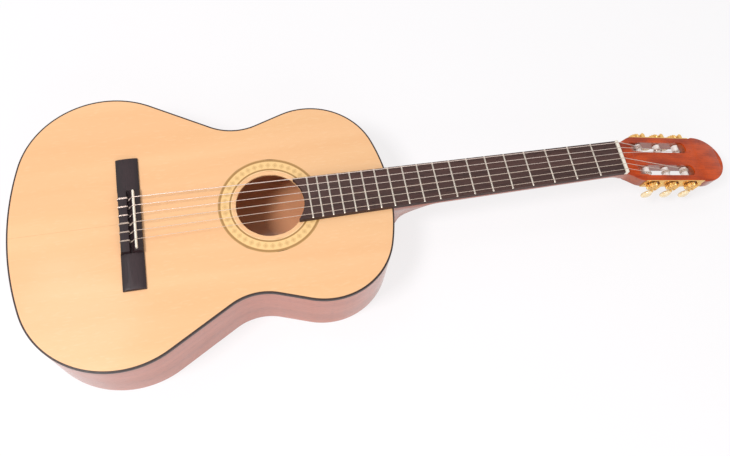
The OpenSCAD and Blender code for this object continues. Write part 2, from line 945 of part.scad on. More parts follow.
// Steel shaft with the worm's core; its upper end shows above the upper lug.
module worm(n) {
    tail = lug_in + lug_t + button_gap + button_bore;
    color([0.80, 0.62, 0.30]) at_tuner(n)
        translate([worm_off, gear_y, 0]) {
            translate([0, 0, -worm_half])
                cylinder(r = worm_core_r, h = 2 * worm_half);
            translate([0, 0, -tail])
                cylinder(r = shaft_r, h = tail + lug_in + lug_t + 0.4);
        }
}

button_gap = 5;
button_bore = 11;
module button(n) {
    top = -(lug_in + lug_t + button_gap);
    neck_r = 3.1;
    round_r = 4;
    color([0.93, 0.80, 0.52]) at_tuner(n)
        translate([worm_off, gear_y, top])
            difference() {
                union() {
                    translate([0, 0, -4])
                        cylinder(r = neck_r, h = 4);
                    rotate([90, 0, 0])
                        linear_extrude(button_t, center = true)
                            union() {
                                polygon([
                                    [-neck_r, -3], [neck_r, -3], [button_w / 2, -8],
                                    [button_w / 2, round_r - button_l], [button_w / 2 - round_r, -button_l],
                                    [round_r - button_w / 2, -button_l], [-button_w / 2, round_r - button_l],
                                    [-button_w / 2, -8]]);
                                for (s = [-1, 1])
                                    translate([s * (button_w / 2 - round_r), round_r - button_l])
                                        circle(round_r);
                            }
                }
                translate([0, 0, -button_bore])
                    cylinder(r = shaft_r, h = button_bore + 1);
            }
}

// Roller on its axle, with the cross hole that the string is tied through.
module roller(n) {
    inner = web_w / 2;
    color(ivory) at_tuner(n)
        difference() {
            union() {
                y_cylinder(axle_r, inner - axle_in, plate_out + gear_gap);
                y_cylinder(axle_r - 0.6, plate_out, plate_out + gear_gap + gear_t);
                y_cylinder(roller_r, inner + side_gap, inner + slot_w - side_gap);
            }
            translate([0, string_coil[n - 1] + 3.4, -roller_r - 1])
                cylinder(r = 0.9, h = 2 * roller_r + 2);
        }
}

// Gear with its small screw: teeth are cut straight, as trapezoids on the pitch circle.
module gear(n) {
    pitch = 360 / gear_teeth;
    root_r = gear_r - tooth_h;
    color(gilt) at_tuner(n) {
        translate([0, plate_out + gear_gap, 0])
            rotate([-90, 0, 0])
                linear_extrude(gear_t)
                    difference() {
                        polygon([for (k = [0 : gear_teeth - 1], q = [0 : 3])
                            let (a = pitch * (k + [-0.32, -0.16, 0.16, 0.32][q]),
                                r = [root_r, gear_r, gear_r, root_r][q])
                            [r * cos(a), r * sin(a)]]);
                        circle(axle_r - 0.6);
                    }
        difference() {
            y_cylinder(2.8, gear_y + gear_t / 2, gear_y + gear_t / 2 + 1.2);
            translate([-3, gear_y + gear_t / 2 + 0.6, -0.35])
                cube([6, 1, 0.7]);
        }
    }
}

soundboard();
rosette();
back_plate();
rib_bass();
rib_treble();
binding();
top_linings();
back_linings();
neck_block();
tail_block();
fan_struts();
upper_bar();
lower_bar();
bridge_patch();
back_bars();
bridge();
saddle();
neck();
heel_cap();
head_plate();
fingerboard();
frets();
nut();
side_plate_bass();
side_plate_treble();
plate_screws();
for (n = [1 : 6]) {
    string_node(n);
    worm(n);
    button(n);
    roller(n);
    gear(n);
}
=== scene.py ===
"""A classical guitar lying on its flat back, put together in the order a maker works: body, bridge, neck,
fingerboard, tuners and strings. Metres, +X to the head, +Y to the bass side, +Z up."""
import json
import math

import bpy
import numpy as np
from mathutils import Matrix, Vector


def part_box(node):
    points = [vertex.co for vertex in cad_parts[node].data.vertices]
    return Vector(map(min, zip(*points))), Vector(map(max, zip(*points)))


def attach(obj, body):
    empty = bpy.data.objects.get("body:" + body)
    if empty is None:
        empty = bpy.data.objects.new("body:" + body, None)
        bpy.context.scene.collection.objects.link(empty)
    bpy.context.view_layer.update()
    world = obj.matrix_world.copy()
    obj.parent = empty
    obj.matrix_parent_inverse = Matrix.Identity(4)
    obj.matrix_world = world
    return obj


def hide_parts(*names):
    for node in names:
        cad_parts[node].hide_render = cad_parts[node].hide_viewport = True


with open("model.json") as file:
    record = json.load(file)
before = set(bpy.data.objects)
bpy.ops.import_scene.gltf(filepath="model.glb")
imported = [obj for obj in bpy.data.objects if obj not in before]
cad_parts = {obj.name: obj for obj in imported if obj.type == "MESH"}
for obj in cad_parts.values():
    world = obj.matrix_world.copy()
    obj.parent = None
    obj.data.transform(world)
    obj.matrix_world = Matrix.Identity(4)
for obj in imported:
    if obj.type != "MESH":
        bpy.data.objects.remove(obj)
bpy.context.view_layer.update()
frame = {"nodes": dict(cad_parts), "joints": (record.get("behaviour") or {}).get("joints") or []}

# ---- Camera ----
# A camera over the treble side of the tail, looking down at the soundboard at about 65 degrees. Its place is
# counted from the point where the middle line meets the neck joint at the height of the soundboard.
joint_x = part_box("rib_bass")[1].x
top_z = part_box("soundboard")[1].z
CAMERA_FROM_JOINT = (-0.18495, -0.41735, 0.85127)
CAMERA_TURN = (24.325, -4.704, -10.715)
LENS = 35.905
SENSOR = 36.0
view = bpy.data.cameras.new("view")
view.lens, view.sensor_width, view.clip_start = LENS, SENSOR, 0.01
camera = bpy.data.objects.new("view", view)
camera.location = np.array(CAMERA_FROM_JOINT) + (joint_x, 0, top_z)
camera.rotation_euler = np.radians(CAMERA_TURN)
bpy.context.scene.collection.objects.link(camera)
bpy.context.scene.camera = camera

# ---- Back plate ----
# The back is one flat board of laminated mahogany, glued to the lower edge of the sides. Its outer edge is
# rounded over by sanding, and it is lacquered like the sides.


def corner_faces(rows, cols, close_rows, close_cols):
    """Corner numbers of the quads between a grid's rows and columns, wrapped where a direction closes."""
    i, j = np.meshgrid(np.arange(rows - (not close_rows)), np.arange(cols - (not close_cols)), indexing="ij")
    i, j = i.ravel(), j.ravel()
    i2, j2 = i + 1, j + 1
    next_row, next_col = (i2 % rows) * cols, j2 % cols
    quads = np.stack([i * cols + j, next_row + j, next_row + next_col, i * cols + next_col], 1)
    wide = cols + close_cols
    return quads, np.stack([i * wide + j, i2 * wide + j, i2 * wide + j2, i * wide + j2], 1)


def surface(name, *grids):
    """A mesh of one or more grids. Each grid is (points[rows, cols, 3], close_rows, close_cols, uv, capped).
    uv has one more row or column in a direction that closes, and capped shuts the first and last rows."""
    points, faces, uvs, offset = [], [], [], 0
    for p, close_rows, close_cols, uv, capped in grids:
        rows, cols = p.shape[:2]
        quads, corners = corner_faces(rows, cols, close_rows, close_cols)
        faces += (quads + offset).tolist()
        uv = np.zeros((rows + close_rows, cols + close_cols, 2)) if uv is None else uv
        uvs.append(uv.reshape(-1, 2)[corners.ravel()])
        if capped:
            first = np.arange(cols)[::-1] + offset
            last = np.arange(cols) + (rows - 1) * cols + offset
            faces += [first.tolist(), last.tolist()]
            uvs += [uv[0, :cols][::-1], uv[-1, :cols]]
        points.append(p.reshape(-1, 3))
        offset += rows * cols
    mesh = bpy.data.meshes.new(name)
    mesh.from_pydata(np.concatenate(points).tolist(), [], faces)
    layer = mesh.uv_layers.new(name="UVMap")
    layer.data.foreach_set("uv", np.concatenate(uvs).astype(np.float32).ravel())
    piece = bpy.data.objects.new(name, mesh)
    bpy.context.scene.collection.objects.link(piece)
    return piece


def rings(points):
    """A grid of closed rings, one a row, with the first and last ring capped."""
    return points, False, True, None, True


def at_height(plan, z):
    """A plan's (x, y) points, all at one height."""
    return np.column_stack([plan, np.full(len(plan), z)])


def whole_turn(count):
    """Angles of a whole turn in equal steps, stopping one short of the first."""
    return np.linspace(0, 2 * math.pi, count, endpoint=False)


def face_outwards(piece):
    """Turns a closed mesh's faces outwards."""
    bpy.ops.object.select_all(action="DESELECT")
    bpy.context.view_layer.objects.active = piece
    piece.select_set(True)
    bpy.ops.object.mode_set(mode="EDIT")
    bpy.ops.mesh.select_all(action="SELECT")
    bpy.ops.mesh.normals_make_consistent(inside=False)
    bpy.ops.object.mode_set(mode="OBJECT")


def finish_piece(piece, material, slot, *nodes, body="guitar", crease=35):
    """Turns the faces outwards, keeps edges over `crease` degrees sharp, gives the piece its material, hangs
    it on its body's empty and hides the frame's parts in `nodes`.
    """
    face_outwards(piece)
    bpy.ops.object.shade_smooth_by_angle(angle=math.radians(crease))
    piece.data.materials.clear()
    piece.data.materials.append(material)
    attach(piece, body)
    if nodes:
        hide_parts(*nodes)


# The outline is five tangent arcs a side, with a straight flank on each side of the waist.
body_low, body_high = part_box("back_plate")
BODY_LENGTH = joint_x - body_low.x
LOWER_HALF, WAIST_HALF, UPPER_HALF = body_high.y, 0.118, 0.140
WAIST_BACK = 0.188
TAIL_R, LOWER_R, WAIST_R, UPPER_R, SHOULDER_R = 0.390, 0.117, 0.071, 0.090, 0.255
ARC_STEP = 0.0025


def arc(centre, radius, inset, start, end, skip):
    """Points of an arc from angle start to end, its radius changed by inset, in steps of about ARC_STEP."""
    steps = max(4, math.ceil(abs(end - start) * radius / ARC_STEP))
    a = np.linspace(start, end, steps + 1)[skip:]
    return np.stack([centre[0] + (radius + inset) * np.cos(a), centre[1] + (radius + inset) * np.sin(a)], 1)


def half_outline(inset):
    """The bass side of the body's outline, from tail to neck, moved inwards by inset."""
    low_y, up_y, waist_y = LOWER_HALF - LOWER_R, UPPER_HALF - UPPER_R, WAIST_HALF + WAIST_R
    tail_x = TAIL_R - BODY_LENGTH
    low_x = tail_x - math.sqrt((TAIL_R - LOWER_R) ** 2 - low_y ** 2)
    up_x = math.sqrt((SHOULDER_R - UPPER_R) ** 2 - up_y ** 2) - SHOULDER_R
    to_low = (-WAIST_BACK - low_x, waist_y - low_y)
    to_up = (-WAIST_BACK - up_x, waist_y - up_y)
    tail_a = math.atan2(low_y, low_x - tail_x)
    low_a = math.atan2(to_low[1], to_low[0]) + math.acos((LOWER_R + WAIST_R) / math.hypot(*to_low))
    up_a = math.atan2(to_up[1], to_up[0]) - math.acos((UPPER_R + WAIST_R) / math.hypot(*to_up))
    end_a = math.atan2(up_y, up_x + SHOULDER_R)
    half = np.concatenate([
        arc((tail_x, 0), TAIL_R, -inset, math.pi, tail_a, 0),
        arc((low_x, low_y), LOWER_R, -inset, tail_a, low_a, 1),
        arc((-WAIST_BACK, waist_y), WAIST_R, inset, low_a + math.pi, up_a + math.pi, 0),
        arc((up_x, up_y), UPPER_R, -inset, up_a, end_a, 0),
        arc((-SHOULDER_R, 0), SHOULDER_R, -inset, end_a, 0, 1)])
    return half + (joint_x, 0)


def outline(inset):
    """The whole outline: the bass side, then the treble side back to the tail."""
    half = half_outline(inset)
    return np.concatenate([half, half[-2:0:-1] * (1, -1)])


def edge_length(path):
    """Distance along a path of points, from its start."""
    return np.concatenate([[0], np.cumsum(np.linalg.norm(np.diff(path, axis=0), axis=1))])


def carried(path_of, section, closed):
    """Carries a section of (inset, height) pairs along the outline: rows follow the outline, columns the
    section. UV is the length along the outer edge and the length round the section, in metres."""
    section = np.array(section)
    p = np.stack([at_height(path_of(d), z) for d, z in section], 1)
    edge = path_of(0)
    along = edge_length(np.concatenate([edge, edge[:1]]) if closed else edge)
    across = edge_length(np.concatenate([section, section[:1]]))
    return p, closed, True, np.stack(np.meshgrid(along, across, indexing="ij"), 2), not closed


def rounded(corner_inset, corner_z, radius, side, steps=4):
    """A quarter round at an outer corner of a section. side is 1 at an upper edge and -1 at a lower one."""
    a = np.linspace(0, math.pi / 2, steps + 1)
    pairs = np.stack([corner_inset + radius * (1 - np.cos(a)), corner_z - side * radius * (1 - np.sin(a))], 1)
    return pairs.tolist()


def tree_of(name):
    """A new node material: the material, its node tree and its Principled shader."""
    material = bpy.data.materials.new(name)
    material.use_nodes = True
    tree = material.node_tree
    return material, tree, tree.nodes["Principled BSDF"]


def join(node, **inputs):
    """Sets a node's sockets by name, or by number after an underscore, each to a value or to a link."""
    for key, value in inputs.items():
        socket = node.inputs[int(key[1:])] if key[0] == "_" else node.inputs[key.replace("_", " ")]
        if isinstance(value, bpy.types.NodeSocket):
            node.id_data.links.new(value, socket)
        else:
            socket.default_value = (*value, 1) if socket.type == "RGBA" and len(value) == 3 else value


def wire(tree, kind, settings=None, **inputs):
    """Adds a node. settings are its own properties, and inputs its sockets, as join takes them."""
    node = tree.nodes.new("ShaderNode" + kind)
    for key, value in (settings or {}).items():
        setattr(node, key, value)
    join(node, **inputs)
    return node


def ramp(tree, factor, *stops):
    """A colour ramp over factor, with stops of (position, colour or grey)."""
    node = wire(tree, "ValToRGB", Fac=factor)
    elements = node.color_ramp.elements
    for k, (position, colour) in enumerate(stops):
        stop = elements[k] if k < len(elements) else elements.new(position)
        stop.position = position
        stop.color = (*colour, 1) if np.ndim(colour) else (colour, colour, colour, 1)
    return node.outputs["Color"]


def mix(tree, factor, a, b):
    """Mixes two colours by factor and gives the resulting socket."""
    return wire(tree, "Mix", {"data_type": "RGBA"}, _0=factor, _6=a, _7=b).outputs[2]


def relief(shader, height, strength, distance):
    """Raises the surface by a height, through a Bump node into the shader's normal."""
    bump = wire(shader.id_data, "Bump", Strength=strength, Distance=distance, Height=height)
    join(shader, Normal=bump.outputs[0])


def colour(r, g, b):
    """A colour given in screen values from 0 to 255, as the linear values that a shader takes."""
    c = np.array([r, g, b]) / 255
    return tuple(np.where(c <= 0.04045, c / 12.92, ((c + 0.055) / 1.055) ** 2.4))


def group_of(name, inputs, outputs):
    """A new shader node group with typed inputs and outputs: (group, input node, output node)."""
    group = bpy.data.node_groups.new(name, "ShaderNodeTree")
    for label, kind, default in inputs:
        socket = group.interface.new_socket(label, in_out="INPUT", socket_type="NodeSocket" + kind)
        if default is not None:
            socket.default_value = default
    for label, kind in outputs:
        group.interface.new_socket(label, in_out="OUTPUT", socket_type="NodeSocket" + kind)
    return group, group.nodes.new("NodeGroupInput"), group.nodes.new("NodeGroupOutput")


# Grain of sawn wood: broad bands of colour, growth lines, fine fibres and dark pores, all drawn out along X.
wood_grain, given, made = group_of(
    "wood_grain",
    [("Vector", "Vector", None),
     ("Light", "Color", (0.8, 0.6, 0.4, 1)), ("Dark", "Color", (0.5, 0.3, 0.2, 1)),
     ("Bands", "Float", 40.0), ("Lines", "Float", 800.0), ("Line strength", "Float", 0.2),
     ("Band strength", "Float", 0.5), ("Pores", "Float", 0.3)],
    [("Color", "Color"), ("Height", "Float")])


def stretched(tree, vector, x, y, z):
    """The vector with each axis scaled by its own factor."""
    return wire(tree, "VectorMath", {"operation": "MULTIPLY"}, _0=vector, _1=(x, y, z)).outputs[0]


def math_of(tree, operation, a, b=0.0, c=0.0):
    """A Math node's result."""
    return wire(tree, "Math", {"operation": operation}, _0=a, _1=b, _2=c).outputs[0]


def noise(tree, vector, scale=1.0, detail=2.0, **values):
    """A noise texture's value."""
    return wire(tree, "TexNoise", Vector=vector, Scale=scale, Detail=detail, **values).outputs["Fac"]


def band(tree, value, low, high, to_low=0.0, to_high=1.0):
    """A value between low and high mapped to one between to_low and to_high, and held there outside them."""
    return wire(tree, "MapRange", Value=value, From_Min=low, From_Max=high,
                To_Min=to_low, To_Max=to_high).outputs[0]


drift = noise(wood_grain, stretched(wood_grain, given.outputs["Vector"], 3, 12, 12))
parts = wire(wood_grain, "SeparateXYZ", _0=given.outputs["Vector"])
bent_y = math_of(wood_grain, "MULTIPLY_ADD", drift, 0.012, parts.outputs["Y"])
bent = wire(wood_grain, "CombineXYZ", X=parts.outputs["X"], Y=bent_y, Z=parts.outputs["Z"]).outputs[0]
broad = noise(wood_grain, stretched(wood_grain, bent, 0.05, 1, 1), given.outputs["Bands"], 3.0)
line = math_of(wood_grain, "FRACT", math_of(wood_grain, "MULTIPLY", bent_y, given.outputs["Lines"]))
late_wood = math_of(wood_grain, "POWER", line, 4.0)
fibre = noise(wood_grain, stretched(wood_grain, bent, 60, 2200, 2200))
pore = noise(wood_grain, stretched(wood_grain, bent, 110, 1500, 1500), detail=0.0)
pore_dark = math_of(wood_grain, "MULTIPLY", band(wood_grain, pore, 0.62, 0.72), given.outputs["Pores"])
dark = math_of(wood_grain, "MULTIPLY", band(wood_grain, broad, 0.35, 0.65), given.outputs["Band strength"])
dark = math_of(wood_grain, "MULTIPLY_ADD", late_wood, given.outputs["Line strength"], dark)
dark = math_of(wood_grain, "MULTIPLY_ADD", math_of(wood_grain, "SUBTRACT", fibre, 0.5), 0.25, dark)
dark = math_of(wood_grain, "ADD", dark, pore_dark)
join(made, Color=mix(wood_grain, dark, given.outputs["Light"], given.outputs["Dark"]),
     Height=math_of(wood_grain, "SUBTRACT", fibre, pore_dark))


def grained(tree, vector, light, dark_tone, **values):
    """A wood_grain node in a material, with its two tones and any of its values by name."""
    node = tree.nodes.new("ShaderNodeGroup")
    node.node_tree = wood_grain
    join(node, Vector=vector, Light=light, Dark=dark_tone, **values)
    return node


def lacquered(name, light, dark_tone, roughness, coat, vector="Object", bump=0.15, turn=None, specular=0.5,
              **values):
    """Wood under clear lacquer: grain in the colour, a hint of it in the surface, a gloss coat over both."""
    material, tree, shader = tree_of(name)
    place = wire(tree, "TexCoord").outputs[vector]
    if turn:
        place = wire(tree, "Mapping", Vector=place, Rotation=turn).outputs[0]
    grain = grained(tree, place, light, dark_tone, **values)
    wear = noise(tree, place, 35.0, 4.0)
    join(shader, Base_Color=grain.outputs["Color"], Coat_Weight=coat, Coat_Roughness=0.06,
         Specular_IOR_Level=specular, Roughness=band(tree, wear, 0, 1, roughness * 0.8, roughness * 1.25))
    relief(shader, grain.outputs["Height"], bump, 0.0002)
    return material


MAHOGANY_LIGHT, MAHOGANY_DARK = colour(192, 108, 80), colour(138, 64, 42)
back_wood = lacquered("back_mahogany", MAHOGANY_LIGHT, MAHOGANY_DARK, 0.35, 0.6, Bands=30.0, Lines=150.0,
                      Line_strength=0.12, Band_strength=0.55, Pores=0.5)
BACK_THICK = body_high.z - body_low.z
# Its inner face is bare veneer, paler than the lacquered outside.
BARE_SKIN = 0.00001
tree = back_wood.node_tree
shader = tree.nodes["Principled BSDF"]
outside = shader.inputs["Base Color"].links[0].from_socket
place = wire(tree, "SeparateXYZ", _0=wire(tree, "TexCoord").outputs["Object"])
inside = math_of(tree, "GREATER_THAN", place.outputs["Z"], BACK_THICK - BARE_SKIN)
join(shader, Base_Color=mix(tree, inside, outside, colour(250, 178, 132)))
BACK_EDGE_R = 0.0012
back_section = [*rounded(0, 0, BACK_EDGE_R, -1)[::-1], (0, BACK_THICK)]
back = surface("back_plate_board", rings(np.stack([at_height(outline(d), z) for d, z in back_section])))
finish_piece(back, back_wood, "mahogany_back", "back_plate")

# ---- Sides ----
# Two strips of laminated mahogany, bent on a hot iron and butted at the tail and under the neck. They are
# glued to the back's edge below and to the linings behind, and sprayed with clear lacquer.
SIDE_T = 0.0022
side_low, side_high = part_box("rib_bass")
side_wood = lacquered("side_mahogany", MAHOGANY_LIGHT, MAHOGANY_DARK, 0.34, 0.55, vector="UV", Bands=28.0,
                      Lines=130.0, Line_strength=0.10, Band_strength=0.6, Pores=0.5)
side_section = [(SIDE_T, side_low.z), (0, side_low.z), (0, side_high.z), (SIDE_T, side_high.z)]


def treble_half(inset):
    """The treble side of the outline, from tail to neck."""
    return half_outline(inset) * (1, -1)


for name, path in (("rib_bass", half_outline), ("rib_treble", treble_half)):
    side = surface(name + "_strip", carried(path, side_section, False))
    finish_piece(side, side_wood, "mahogany_sides", name)

# ---- Linings, blocks, bars and struts ----
# Plain planed wood inside the body: linings along both edges of the sides, a block at neck and tail, two bars
# and five fan struts under the soundboard, and three bars across the back. None of it is lacquered.


def planed(name, light, dark_tone, **values):
    """Bare planed wood: grain in colour and surface, and no coat."""
    return lacquered(name, light, dark_tone, 0.7, 0.0, bump=0.35, **values)


def dress(material, *nodes):
    """Gives parts that stay as the frame has them their material."""
    for node in nodes:
        materials = frame["nodes"][node].data.materials
        materials.clear()
        materials.append(material)


SPRUCE_LIGHT, SPRUCE_DARK = colour(236, 205, 160), colour(205, 160, 110)
inner_spruce = planed("inner_spruce", SPRUCE_LIGHT, SPRUCE_DARK, Bands=60.0, Lines=700.0, Line_strength=0.4,
                      Band_strength=0.3, Pores=0.1)
block_wood = planed("block_wood", colour(190, 140, 100), colour(140, 95, 65), Bands=40.0, Lines=200.0,
                    Line_strength=0.2, Band_strength=0.5, Pores=0.5)
dress(inner_spruce, "top_linings", "back_linings", "upper_bar", "lower_bar", "fan_struts", "bridge_patch",
      "back_bars")
dress(block_wood, "neck_block", "tail_block")

# ---- Soundboard ----
# Two halves of straight-grained spruce glued edge to edge down the middle, cut to the outline, with the
# soundhole bored through and a shallow ring channel round it for the rosette. Clear gloss lacquer on top.
board_low, board_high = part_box("soundboard")
inlay_low, inlay_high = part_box("rosette")
BINDING_W = joint_x - board_high.x
hole_centre = np.array([(inlay_low.x + inlay_high.x) / 2, 0])
INLAY_OUTER = (inlay_high.x - inlay_low.x) / 2
INLAY_INNER = 0.0494
HOLE_R = 0.044
HOLE_EDGE_R = 0.0006
CHANNEL_Z = inlay_low.z
rim = outline(BINDING_W) - hole_centre
reach = np.linalg.norm(rim, axis=1)
rays = rim / reach[:, None]
edge_a = np.linspace(0, math.pi / 2, 5)
hole_edge = [(HOLE_R + HOLE_EDGE_R * (1 - math.cos(a)), top_z - HOLE_EDGE_R * (1 - math.sin(a)))
             for a in edge_a]
board_rings = [
    (HOLE_R, board_low.z), *hole_edge,
    (INLAY_INNER, top_z), (INLAY_INNER, CHANNEL_Z), (INLAY_OUTER, CHANNEL_Z), (INLAY_OUTER, top_z),
    (None, top_z), (None, board_low.z)]
columns = [at_height(hole_centre + rays * (reach[:, None] if r is None else r), z) for r, z in board_rings]
soundboard = surface("soundboard_plate", (np.stack(columns, 1), True, True, None, False))
spruce, tree, shader = tree_of("soundboard_spruce")
place = wire(tree, "SeparateXYZ", _0=wire(tree, "TexCoord").outputs["Object"])
from_seam = math_of(tree, "ABSOLUTE", place.outputs["Y"])
folded = wire(tree, "CombineXYZ", X=place.outputs["X"], Y=from_seam, Z=place.outputs["Z"]).outputs[0]
grain = grained(tree, folded, colour(244, 195, 145), colour(228, 167, 108), Bands=26.0, Lines=620.0,
                Line_strength=0.22, Band_strength=0.34, Pores=0.0)
silk = noise(tree, stretched(tree, folded, 90, 420, 90), detail=1.0)
silk_mask = band(tree, silk, 0.58, 0.75, to_high=0.35)
warm = noise(tree, stretched(tree, folded, 1.5, 9, 1))
warm_mask = band(tree, warm, 0.4, 0.62, to_high=0.5)
board_colour = mix(tree, silk_mask, grain.outputs["Color"], colour(246, 205, 160))
board_colour = mix(tree, warm_mask, board_colour, colour(243, 182, 132))
seam = band(tree, from_seam, 0.0001, 0.0004, 0.4, 0.0)
board_colour = mix(tree, seam, board_colour, colour(190, 135, 85))
join(shader, Base_Color=board_colour, Roughness=0.34, Coat_Weight=0.35, Coat_Roughness=0.12,
     Specular_IOR_Level=0.35)
relief(shader, grain.outputs["Height"], 0.12, 0.0001)
finish_piece(soundboard, spruce, "spruce_top", "soundboard")

# ---- Rosette ----
# A ring of dyed wood mosaic between two dark line rings, made as a strip, bent into its channel, glued, and
# levelled flush with the soundboard. It runs on under the end of the fingerboard.
turn_a = whole_turn(180)
ring_rays = np.stack([np.cos(turn_a), np.sin(turn_a)], 1)
inlay_section = [(INLAY_INNER, CHANNEL_Z), (INLAY_INNER, top_z),
                 (INLAY_OUTER, top_z), (INLAY_OUTER, CHANNEL_Z)]
inlay_p = np.stack([at_height(hole_centre + ring_rays * r, z) for r, z in inlay_section], 1)
rosette = surface("rosette_ring", (inlay_p, True, True, None, False))
mosaic, tree, shader = tree_of("rosette_mosaic")
centred = wire(tree, "Mapping", Vector=wire(tree, "TexCoord").outputs["Object"],
               Location=(-hole_centre[0], 0, 0)).outputs[0]
place = wire(tree, "SeparateXYZ", _0=centred)
in_plane = wire(tree, "CombineXYZ", X=place.outputs["X"], Y=place.outputs["Y"]).outputs[0]
radius = wire(tree, "VectorMath", {"operation": "LENGTH"}, _0=in_plane).outputs["Value"]
across_ring = band(tree, radius, INLAY_INNER, INLAY_OUTER)
angle = math_of(tree, "ARCTAN2", place.outputs["Y"], place.outputs["X"])
TILES, TILE_INNER, TILE_OUTER = 40, 0.0528, 0.0630
tile_a = math_of(tree, "FRACT", math_of(tree, "MULTIPLY", angle, TILES / (2 * math.pi)))
tile_r = band(tree, radius, TILE_INNER, TILE_OUTER)
# Each tile is a small stepped diamond with a darker heart.
off_a = math_of(tree, "ABSOLUTE", math_of(tree, "SUBTRACT", tile_a, 0.5))
off_r = math_of(tree, "ABSOLUTE", math_of(tree, "SUBTRACT", tile_r, 0.5))
step = math_of(tree, "ADD", math_of(tree, "SNAP", off_a, 0.125), math_of(tree, "SNAP", off_r, 0.125))
diamond = band(tree, step, 0.25, 0.26, 1.0, 0.0)
heart = band(tree, step, 0.10, 0.11, 1.0, 0.0)
PALE, STRAW = colour(246, 202, 138), colour(250, 212, 160)
OLIVE, UMBER = colour(186, 142, 82), colour(164, 118, 62)
field = mix(tree, math_of(tree, "MULTIPLY", diamond, 0.3), PALE, OLIVE)
field = mix(tree, math_of(tree, "MULTIPLY", heart, 0.25), field, UMBER)
lines = ramp(tree, across_ring, (0.0, STRAW), (0.04, OLIVE), (0.08, UMBER), (0.15, OLIVE), (0.18, PALE),
             (0.79, OLIVE), (0.85, UMBER), (0.92, OLIVE))
lines.node.color_ramp.interpolation = "CONSTANT"
in_field = math_of(tree, "MULTIPLY", math_of(tree, "GREATER_THAN", across_ring, 0.19),
                   math_of(tree, "LESS_THAN", across_ring, 0.78))
join(shader, Base_Color=mix(tree, in_field, lines, field), Roughness=0.34, Coat_Weight=0.35,
     Coat_Roughness=0.12)
finish_piece(rosette, mosaic, "rosette_inlay", "rosette")

# ---- Binding ----
# A strip of black plastic glued into a ledge round the edge of soundboard and sides, scraped flush and
# rounded over at its outer corner.
bind_low, bind_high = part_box("binding")
BINDING_R = 0.0008
bind_section = [(BINDING_W, bind_low.z), (0, bind_low.z), *rounded(0, bind_high.z, BINDING_R, 1),
                (BINDING_W, bind_high.z)]


def plastic(name, tone, roughness, mottle=0.06, scale=60.0, coat=0.0):
    """Moulded or scraped plastic: one colour with a faint cloudiness, and fine rubbing marks in its gloss."""
    material, tree, shader = tree_of(name)
    place = wire(tree, "TexCoord").outputs["Object"]
    cloud = noise(tree, place, scale, 3.0)
    darker = tuple(np.array(tone) * (1 - 3 * mottle))
    scuff = noise(tree, place, scale * 12)
    join(shader, Base_Color=mix(tree, cloud, tone, darker), Coat_Weight=coat,
         Roughness=band(tree, scuff, 0, 1, roughness * 0.75, roughness * 1.3))
    relief(shader, scuff, 0.05, 0.0001)
    return material


black_plastic = plastic("black_binding", colour(44, 22, 16), 0.36)
binding = surface("edge_binding", carried(outline, bind_section, True))
finish_piece(binding, black_plastic, "black_binding", "binding")

# ---- Bridge ----
# One bar of dark rosewood glued to the soundboard: low round-backed wings, and a raised middle with the
# saddle's slot, a channel behind it and the tie block with its string holes.
bridge_low, bridge_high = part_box("bridge")
BRIDGE_MID_HALF, SLOPE_W, END_ROUND = 0.043, 0.001, 0.0016
MM = 0.001
mid_section = np.array([
    (1.5, 0), (1.5, 8.2), (1.8, 8.8), (2.4, 9), (11.6, 9), (12.2, 8.8), (12.5, 8.2), (12.5, 3.3), (12.9, 3),
    (15.2, 3), (15.7, 3.3), (17.8, 8.6), (18.4, 9), (23.6, 9), (24.4, 8.6), (28, 5), (28, 0)]) * MM
WING_EDGE, WING_CROWN = 0.0022, 0.0046
bridge_l = bridge_high.x - bridge_low.x
arch_x = np.linspace(0, bridge_l, len(mid_section) - 2)
arch_z = WING_EDGE + (WING_CROWN - WING_EDGE) * np.sqrt(np.clip(1 - (2 * arch_x / bridge_l - 1) ** 2, 0, 1))
wing_section = np.concatenate([[(0, 0)], np.stack([arch_x, arch_z], 1), [(bridge_l, 0)]])
bridge_half = bridge_high.y
# Rows run across the soundboard: a rounded end, the wing, a short slope, and the middle.
row_y = np.array([0, 0.0003, 0.0008, 0.0016, 0.01, 0.03, 0.044, 0.0475, 0.048, 0.0486, 0.06,
                  0.08]) - bridge_half
row_y = np.concatenate([row_y, [0], -row_y[::-1]])
middle = np.clip((BRIDGE_MID_HALF + SLOPE_W / 2 - np.abs(row_y)) / SLOPE_W, 0, 1)[:, None, None]
end_drop = np.clip((bridge_half - np.abs(row_y)) / END_ROUND, 0, 1)
end_scale = np.sqrt(1 - (1 - end_drop) ** 2 * 0.5)[:, None]
section = wing_section * (1 - middle) + mid_section * middle
bridge_p = np.stack([bridge_low.x + section[..., 0], np.broadcast_to(row_y[:, None], section.shape[:2]),
                     bridge_low.z + section[..., 1] * end_scale], 2)
bridge = surface("bridge_body", rings(bridge_p))


def rod(start, end, radius, sides=24):
    """Points of a straight round rod from start to end, for a capped grid."""
    axis = np.array(end, float) - start
    axis_unit = axis / np.linalg.norm(axis)
    side = np.cross(axis_unit, (0, 0, 1) if abs(axis_unit[2]) < 0.9 else (1, 0, 0))
    side /= np.linalg.norm(side)
    a = whole_turn(sides)[:, None]
    ring = radius * (np.cos(a) * side + np.sin(a) * np.cross(axis_unit, side))
    return np.stack([ring + start, ring + end])


def carve(piece, *tools):
    """Cuts tools, which are grids of closed rings, out of a piece."""
    cutter = surface("cutter", *[rings(tool) for tool in tools])
    face_outwards(piece)
    face_outwards(cutter)
    cut = piece.modifiers.new("cut", "BOOLEAN")
    cut.operation, cut.object, cut.solver = "DIFFERENCE", cutter, "EXACT"
    mesh = bpy.data.meshes.new_from_object(piece.evaluated_get(bpy.context.evaluated_depsgraph_get()))
    piece.modifiers.clear()
    piece.data = mesh
    bpy.data.objects.remove(cutter)


